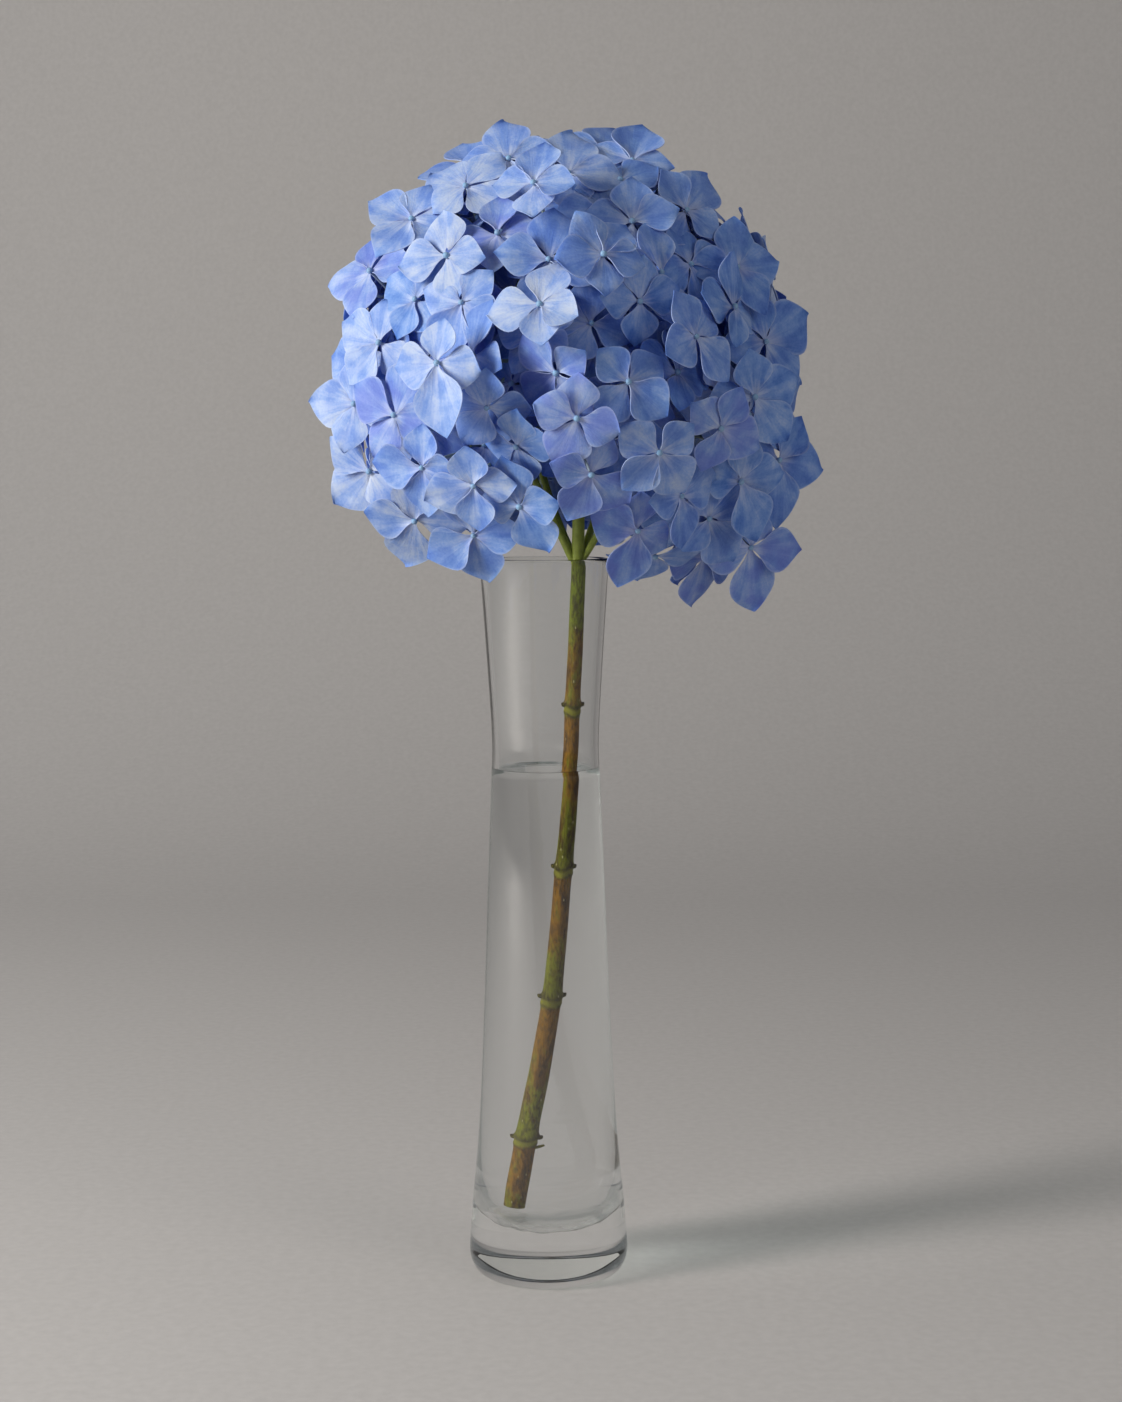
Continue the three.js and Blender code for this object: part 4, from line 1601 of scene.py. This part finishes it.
    def back_florets(self, rule: HiddenRule) -> list[Floret]:
        """Cover the back of the head, clear of the florets that the photograph shows.

        Args:
            rule: the layer's rule.

        Returns:
            The florets, sunk a little where they come near the front ones.
        """
        placed = [floret.centre for floret in self.front]
        florets = []
        for outward in spiral(rule.count, rule.lowest, rule.shift):
            turned = outward.dot(self.to_camera)
            sink = self.limb_sink * smooth_step(turned, *self.limb)
            point = self.centre + outward * (rule.radius + self.chance.uniform(*rule.depths) - sink)
            clear = all((point - other).length > self.back_spacing for other in placed)
            if turned < self.back_edge and clear:
                placed.append(point)
                florets.append(self.ruled_floret(point, rule))
        return florets

    def inner_florets(self, rule: HiddenRule) -> list[Floret]:
        """Fill the shade between the outer florets with smaller, deeper ones.

        Args:
            rule: the layer's rule.

        Returns:
            The florets.
        """
        florets = []
        for outward in spiral(rule.count, rule.lowest, rule.shift):
            point = self.centre + outward * (rule.radius + self.chance.uniform(*rule.depths))
            florets.append(self.ruled_floret(point, rule))
        return florets

    def shapes(self) -> list[SepalShape]:
        """Draw the kinds of sepal, which differ in cup, bow, curl, folds and outline.

        Returns:
            The kinds, from round to pointed.
        """
        chance = random.Random(5)
        return [SepalShape(*(chance.uniform(*ends) for ends in self.shape_ranges),
                           self.least_point + (1 - self.least_point) * i / (self.kinds - 1))
                for i in range(self.kinds)]

    def sepal_place(self, floret: Floret, slot: int) -> Matrix:
        """Find the matrix that brings a sepal of length 1 to its place.

        Args:
            floret: the sepal's floret.
            slot: its place in the round.

        Returns:
            The matrix.
        """
        sepal = floret.sepals[slot]
        size = Matrix.Diagonal((sepal.length, sepal.length * sepal.breadth, sepal.length, 1))
        return (floret.place() @ Matrix.Translation((0, 0, self.pair_lift * (slot % 2)))
                @ Matrix.Rotation(sepal.angle, 4, "Z")
                @ Matrix.Translation((self.claw_gap, 0, 0))
                @ Matrix.Rotation(-sepal.pitch, 4, "Y") @ size)

    def surface(self, floret: Floret, blades: list[bpy.types.Mesh]) -> BVHTree:
        """Lay out a floret's sepals to be tested against another's.

        Args:
            floret: the floret.
            blades: the blade of each kind of sepal.

        Returns:
            The tree of their faces.
        """
        points, faces = [], []
        for slot, sepal in enumerate(floret.sepals):
            blade, place = blades[sepal.kind], self.sepal_place(floret, slot)
            faces += [[len(points) + i for i in face.vertices] for face in blade.polygons]
            points += [place @ vert.co for vert in blade.vertices]
        return BVHTree.FromPolygons(points, faces)

    def part_neighbours(self, blades: list[bpy.types.Mesh]) -> None:
        """Draw a floret that cuts through a nearer one back along the line of sight.

        Args:
            blades: the blade of each kind of sepal.
        """
        for effort in range(self.parting_rounds):
            trees = [self.surface(floret, blades) for floret in self.front]
            ranks = sorted(range(len(trees)),
                           key=lambda i: (self.front[i].centre - self.view.place).length)
            cut = {far for k, far in enumerate(ranks) for near in ranks[:k]
                   if self.near(self.front[far], self.front[near])
                   and trees[near].overlap(trees[far])}
            for i in cut:
                floret = self.front[i]
                away = (floret.centre - self.view.place).normalized()
                floret.centre += away * self.parting_step
                floret.facing = floret.facing.slerp(self.toward(floret.centre),
                                                    self.parting_turn * effort)
                for slot, (angle, length) in self.lay_tips(FRONT_FLORETS[i], floret).items():
                    floret.sepals[slot] = replace(floret.sepals[slot], angle=angle, length=length)
            log.info("%d florets drawn back", len(cut))

    def near(self, one: Floret, other: Floret) -> bool:
        """Tell whether two florets are near enough to touch."""
        return (one.centre - other.centre).length < self.neighbour_mm

    def tuck_in(self, blades: list[bpy.types.Mesh]) -> None:
        """Sink the hidden florets that would cut through a seen one.

        Args:
            blades: the blade of each kind of sepal.
        """
        seen = [(floret, self.surface(floret, blades)) for floret in self.front]
        for hidden in self.back + self.inner:
            close = [tree for floret, tree in seen if self.near(floret, hidden)]
            inward = (self.centre - hidden.centre).normalized()
            for _ in range(self.tucks):
                own = self.surface(hidden, blades)
                if not any(own.overlap(tree) for tree in close):
                    break
                hidden.centre += inward * self.tuck_step

    def sepal_mesh(self, shape: SepalShape) -> bpy.types.Mesh:
        """Model the upper face of one sepal of length 1.

        Args:
            shape: its cup, bow, curl, folds and outline.

        Returns:
            The blade's mesh, with the sepal attribute: side, reach and fan.
        """
        bm = bmesh.new()
        where = bm.verts.layers.float_vector.new("sepal")
        bm.verts.layers.float_vector.new("tint")
        along, across = self.sepal_faces
        bmesh.ops.create_grid(bm, x_segments=along, y_segments=across, size=1)
        for vert in bm.verts:
            side, run = vert.co.y, (vert.co.x + 1) / 2
            reach = run - self.edge_crowding * math.sin(FULL_TURN * run)
            breadth = shape.half_breadth(reach)
            fan = side * breadth / (reach + self.fan_start)
            vert[where] = Vector((side, reach, fan))
            vert.co = Vector((reach, side * breadth + shape.skew * reach * reach,
                              shape.lift(side, reach, fan)))
        for edge in bm.edges:
            edge.smooth = not edge.is_boundary
        bmesh.ops.recalc_face_normals(bm, faces=bm.faces)
        if sum(face.normal.z for face in bm.faces) < 0:
            bmesh.ops.reverse_faces(bm, faces=bm.faces)
        mesh = bpy.data.meshes.new("sepal_template")
        bm.to_mesh(mesh)
        bm.free()
        return mesh

    def build_sepals(self, name: str, florets: list[Floret], material: bpy.types.Material,
                     smoothing: int) -> bpy.types.Object:
        """Join the sepals of many florets into one piece.

        Args:
            name: the piece's name.
            florets: the florets whose sepals it holds.
            material: the sepals' material.
            smoothing: how many times each face is divided in four.

        Returns:
            The piece.
        """
        blades = [self.sepal_mesh(shape) for shape in self.shapes()]
        bm = bmesh.new()
        bm.verts.layers.float_vector.new("sepal")
        bm.verts.layers.float_vector.new("tint")
        for floret in florets:
            for slot, sepal in enumerate(floret.sepals):
                start = len(bm.verts)
                bm.from_mesh(blades[sepal.kind])
                bm.verts.ensure_lookup_table()
                tint = bm.verts.layers.float_vector["tint"]
                fresh = bm.verts[start:]
                bmesh.ops.transform(bm, matrix=self.sepal_place(floret, slot), verts=fresh)
                depth = floret.depth + self.kind_shade * (sepal.kind % 3 - 1)
                shade = Vector((depth, floret.violet, (sepal.kind + start % 7) / 15))
                for vert in fresh:
                    vert[tint] = shade
        for mesh in blades:
            bpy.data.meshes.remove(mesh)
        piece = settle(bm, name, material, "sepal_blue", "bloom")
        if smoothing:
            smooth = piece.modifiers.new("blade_curve", "SUBSURF")
            smooth.levels = smoothing
            smooth.render_levels = smoothing
        blade = piece.modifiers.new("blade_thickness", "SOLIDIFY")
        blade.thickness = self.thickness * MM
        blade.offset = -1
        return piece

    def build_beads(self, finish: BeadFinish) -> bpy.types.Object:
        """Set a round closed bud in the middle of every floret.

        Args:
            finish: the bud's skin.

        Returns:
            The buds as one piece.
        """
        bm = bmesh.new()
        for floret in self.florets:
            bead = bmesh.ops.create_icosphere(bm, subdivisions=2, radius=1)["verts"]
            size = self.chance.uniform(*self.bud_sizes)
            shape = (Matrix.Translation((0, 0, self.bud_rise))
                     @ Matrix.Diagonal((size, size, size * self.bud_flatness, 1)))
            bmesh.ops.transform(bm, matrix=floret.place() @ shape, verts=bead)
        return settle(bm, "floret_buds", finish.material(), "sepal_blue", "bloom")


@dataclass(frozen=True)
class Ray:
    """One green ray: how high it leaves the stalk, its end and its bend, all in millimetres."""

    root: Point
    bend: Point
    end: Point
    radii: Pair


@dataclass(frozen=True)
class Limb:
    """A limb's thickness and its place in the skin's colours, both at its start and its end."""

    radii: Pair
    shades: Pair
    sides: int
    steps: int = 7


@dataclass
class Branches:
    """The green rays from the stem's top, their forks, and a pedicel to every floret."""

    head: Mophead
    rays: tuple[Ray, ...] = (
        Ray((11.3, -12.85, 246.5), (12.4, -12.3, 272), (11.5, -8.0, 292), (2.25, 1.9)),
        Ray((10.4, -12.8, 248), (2.2, -13.5, 266), (-14.0, -12.0, 300), (1.3, 1.15)),
        Ray((12.6, -12.8, 249.5), (22.0, -13.5, 262), (37.0, -12.0, 299), (1.25, 1.1)),
        Ray((12.0, -11.6, 250), (20.0, 3.0, 266), (27.0, 18.0, 300), (1.3, 1.1)),
        Ray((10.6, -11.6, 250), (2.0, 4.0, 266), (-6.0, 19.0, 300), (1.3, 1.1)))
    ray_shades: Pair = (0.0, 0.25)
    ray_sides: int = 14
    ray_steps: int = 14
    crown: Point = (11.5, -8.0, 291.0)
    crown_count: int = 6
    crown_lowest: float = 75.0
    crown_reach: float = 28.0
    crown_limb: Limb = Limb((1.3, 1.0), (0.2, 0.35), 10)
    fork_count: int = 34
    fork_lowest: float = 124.0
    fork_reach: float = 49.0
    fork_limb: Limb = Limb((1.05, 0.8), (0.3, 0.5), 8)
    pedicel: Limb = Limb((0.75, 0.5), (0.5, 1.0), 6)
    shift: float = 0.4
    sag: float = 0.06

    def build(self, finish: TwigFinish) -> tuple[bpy.types.Object, bpy.types.Object]:
        """Grow rays and pedicels.

        Args:
            finish: the green skin.

        Returns:
            The rays with their forks, and the pedicels.
        """
        head = self.head
        material = finish.material()
        rays, stalks = bmesh.new(), bmesh.new()
        for bm in (rays, stalks):
            bm.verts.layers.float.new("branch")
        for ray in self.rays:
            self.grow(rays, [Vector(ray.root), Vector(ray.bend), Vector(ray.end)],
                      Limb(ray.radii, self.ray_shades, self.ray_sides, self.ray_steps))
        ends = [Vector(ray.end) for ray in self.rays[1:]]
        for direction in spiral(self.crown_count, self.crown_lowest, self.shift):
            end = head.centre + direction * self.crown_reach
            self.grow(rays, self.bowed(Vector(self.crown), end), self.crown_limb)
            ends.append(end)
        forks = [head.centre + direction * self.fork_reach
                 for direction in spiral(self.fork_count, self.fork_lowest, self.shift)]
        for end in forks:
            start = min(ends, key=lambda point: (point - end).length)
            self.grow(rays, self.bowed(start, end), self.fork_limb)
        for floret in head.florets:
            start = min(forks, key=lambda point: (point - floret.centre).length)
            bend = floret.centre - floret.facing * (floret.centre - start).length * 0.5
            self.grow(stalks, [start, bend, floret.centre], self.pedicel)
        for bm in (rays, stalks):
            bmesh.ops.recalc_face_normals(bm, faces=bm.faces)
        return (settle(rays, "head_rays", material, "stem_bark", "stem"),
                settle(stalks, "floret_pedicels", material, "stem_bark", "bloom"))

    def bowed(self, start: Vector, end: Vector) -> list[Vector]:
        """A limb's start, sagging bend and end."""
        return [start, start.lerp(end, 0.5) - UP * (end - start).length * self.sag, end]

    def grow(self, bm: Bmesh, points: list[Vector], limb: Limb) -> None:
        """Grow one curved tapering limb.

        Args:
            bm: the mesh to add to.
            points: its start, the point that bends it, and its end.
            limb: its thickness, colours, sides and steps.
        """
        start, bend, end = points
        path, thick = [], []
        for i in range(limb.steps + 1):
            t = i / limb.steps
            path.append(start * (1 - t) ** 2 + bend * 2 * t * (1 - t) + end * t * t)
            thick.append(limb.radii[0] + (limb.radii[1] - limb.radii[0]) * i / limb.steps)
        layer = bm.verts.layers.float["branch"]
        for i, ring in enumerate(tube(bm, path, thick, limb.sides)):
            for vert in ring:
                vert[layer] = limb.shades[0] + (limb.shades[1] - limb.shades[0]) * i / limb.steps


@dataclass(frozen=True)
class Lamp:
    """A soft light, a panel like a window: place and size in metres, power and colour.

    Mirrored says whether it shows in reflections, and seen_through whether it shows in glass.
    """

    name: str
    place: Point
    size: Pair
    watts: float
    colour: str
    mirrored: bool
    seen_through: bool


@dataclass
class Studio:
    """A plain pale floor that sweeps up behind, a window light and a soft fill.

    The floor rises into the foot by a hair, so that its paper shows through the glass.
    """

    lamps: tuple[Lamp, ...] = (
        Lamp("window_light", (-1.3, -0.62, 0.72), (0.5, 0.9), 20.0, "FFFBF3", False, False),
        Lamp("fill_light", (1.1, -1.0, 0.85), (0.8, 1.2), 5.0, "FFF8EE", False, False),
        Lamp("window_glint", (-1.3, -0.62, 0.72), (0.3, 0.9), 12.0, "FFFBF3", True, False),
        Lamp("window_edge", (-1.25, -0.7, 0.75), (0.07, 0.7), 0.2, "FFFFFF", True, True))
    aim: Point = (0.0, 0.0, 0.3)
    air: str = "CDCDCF"
    air_strength: float = 0.3
    front_mm: float = -3200.0
    back_mm: float = 1500.0
    bend_mm: float = 700.0
    high_mm: float = 2600.0
    half_width_mm: float = 3500.0
    contact_mm: float = 0.15

    def build(self) -> None:
        """Make the floor, the lights and the world."""
        self.make_floor()
        for lamp in self.lamps:
            self.hang(lamp)
        world = bpy.data.worlds.new("studio_world")
        world.use_nodes = True
        tree = world.node_tree
        tree.nodes.clear()
        air = add_node(tree, "Background", {"Color": linear(self.air),
                                            "Strength": self.air_strength})
        add_node(tree, "OutputWorld", {"Surface": air})
        bpy.context.scene.world = world
        bpy.context.scene.view_settings.view_transform = "Standard"

    def make_floor(self) -> None:
        """Bend a plain sheet from floor to backdrop."""
        bm = bmesh.new()
        bmesh.ops.create_grid(bm, x_segments=1, y_segments=64, size=1)
        flat = self.back_mm - self.bend_mm - self.front_mm
        curve = self.bend_mm * math.pi / 2
        whole = flat + curve + self.high_mm
        for vert in bm.verts:
            run = (vert.co.y + 1) / 2 * whole
            turn = min(max(run - flat, 0) / self.bend_mm, math.pi / 2)
            depth = min(run, flat) + self.front_mm + self.bend_mm * math.sin(turn)
            rise = self.bend_mm * (1 - math.cos(turn)) + max(run - flat - curve, 0) + self.contact_mm
            vert.co = Vector((vert.co.x * self.half_width_mm, depth, rise))
        bmesh.ops.scale(bm, vec=(MM, MM, MM), verts=bm.verts)
        mesh = bpy.data.meshes.new("studio_floor")
        bm.to_mesh(mesh)
        bm.free()
        mesh.shade_smooth()
        mesh.materials.append(FloorFinish().material())
        floor = bpy.data.objects.new("studio_floor", mesh)
        bpy.context.scene.collection.objects.link(floor)

    def hang(self, lamp: Lamp) -> None:
        """Hang a lamp so that it lights the head and the vase.

        Args:
            lamp: the lamp.
        """
        data = bpy.data.lights.new(lamp.name, "AREA")
        data.shape = "RECTANGLE"
        data.size, data.size_y = lamp.size
        data.energy = lamp.watts
        data.color = linear(lamp.colour)[:3]
        panel = bpy.data.objects.new(lamp.name, data)
        panel.location = lamp.place
        panel.rotation_mode = "QUATERNION"
        panel.rotation_quaternion = (Vector(self.aim) - Vector(lamp.place)).to_track_quat("-Z", "Y")
        panel.visible_glossy = lamp.mirrored
        panel.visible_transmission = lamp.seen_through
        bpy.context.scene.collection.objects.link(panel)


def main() -> None:
    """Build the studio, the vase, the water, the stem and the head, in that order."""
    logging.basicConfig(level=logging.INFO, format="%(message)s")
    view = PhotoView()
    view.make_camera()
    Studio().build()
    vase = Vase()
    vase.build(ClearFinish("soda_lime_glass", "FDFEFE", 1.5, "E0E4E4"))
    stem = Stem()
    stem.build(BarkFinish())
    water = Water(vase)
    water.build(stem.at_height(water.level), stem.radius(water.level),
                ClearFinish("still_water", "FEFEFE", 1.333, "FBFCFC"))
    head = Mophead(view)
    sepals = SepalFinish().material()
    head.build_sepals("sepals_front", head.front, sepals, 1)
    head.build_sepals("sepals_back", head.back, sepals, 1)
    head.build_sepals("sepals_within", head.inner, sepals, 0)
    head.build_beads(BeadFinish())
    Branches(head).build(TwigFinish())
    log.info("%d florets in front, %d behind, %d within", len(head.front), len(head.back),
             len(head.inner))


if __name__ == "__main__":
    main()
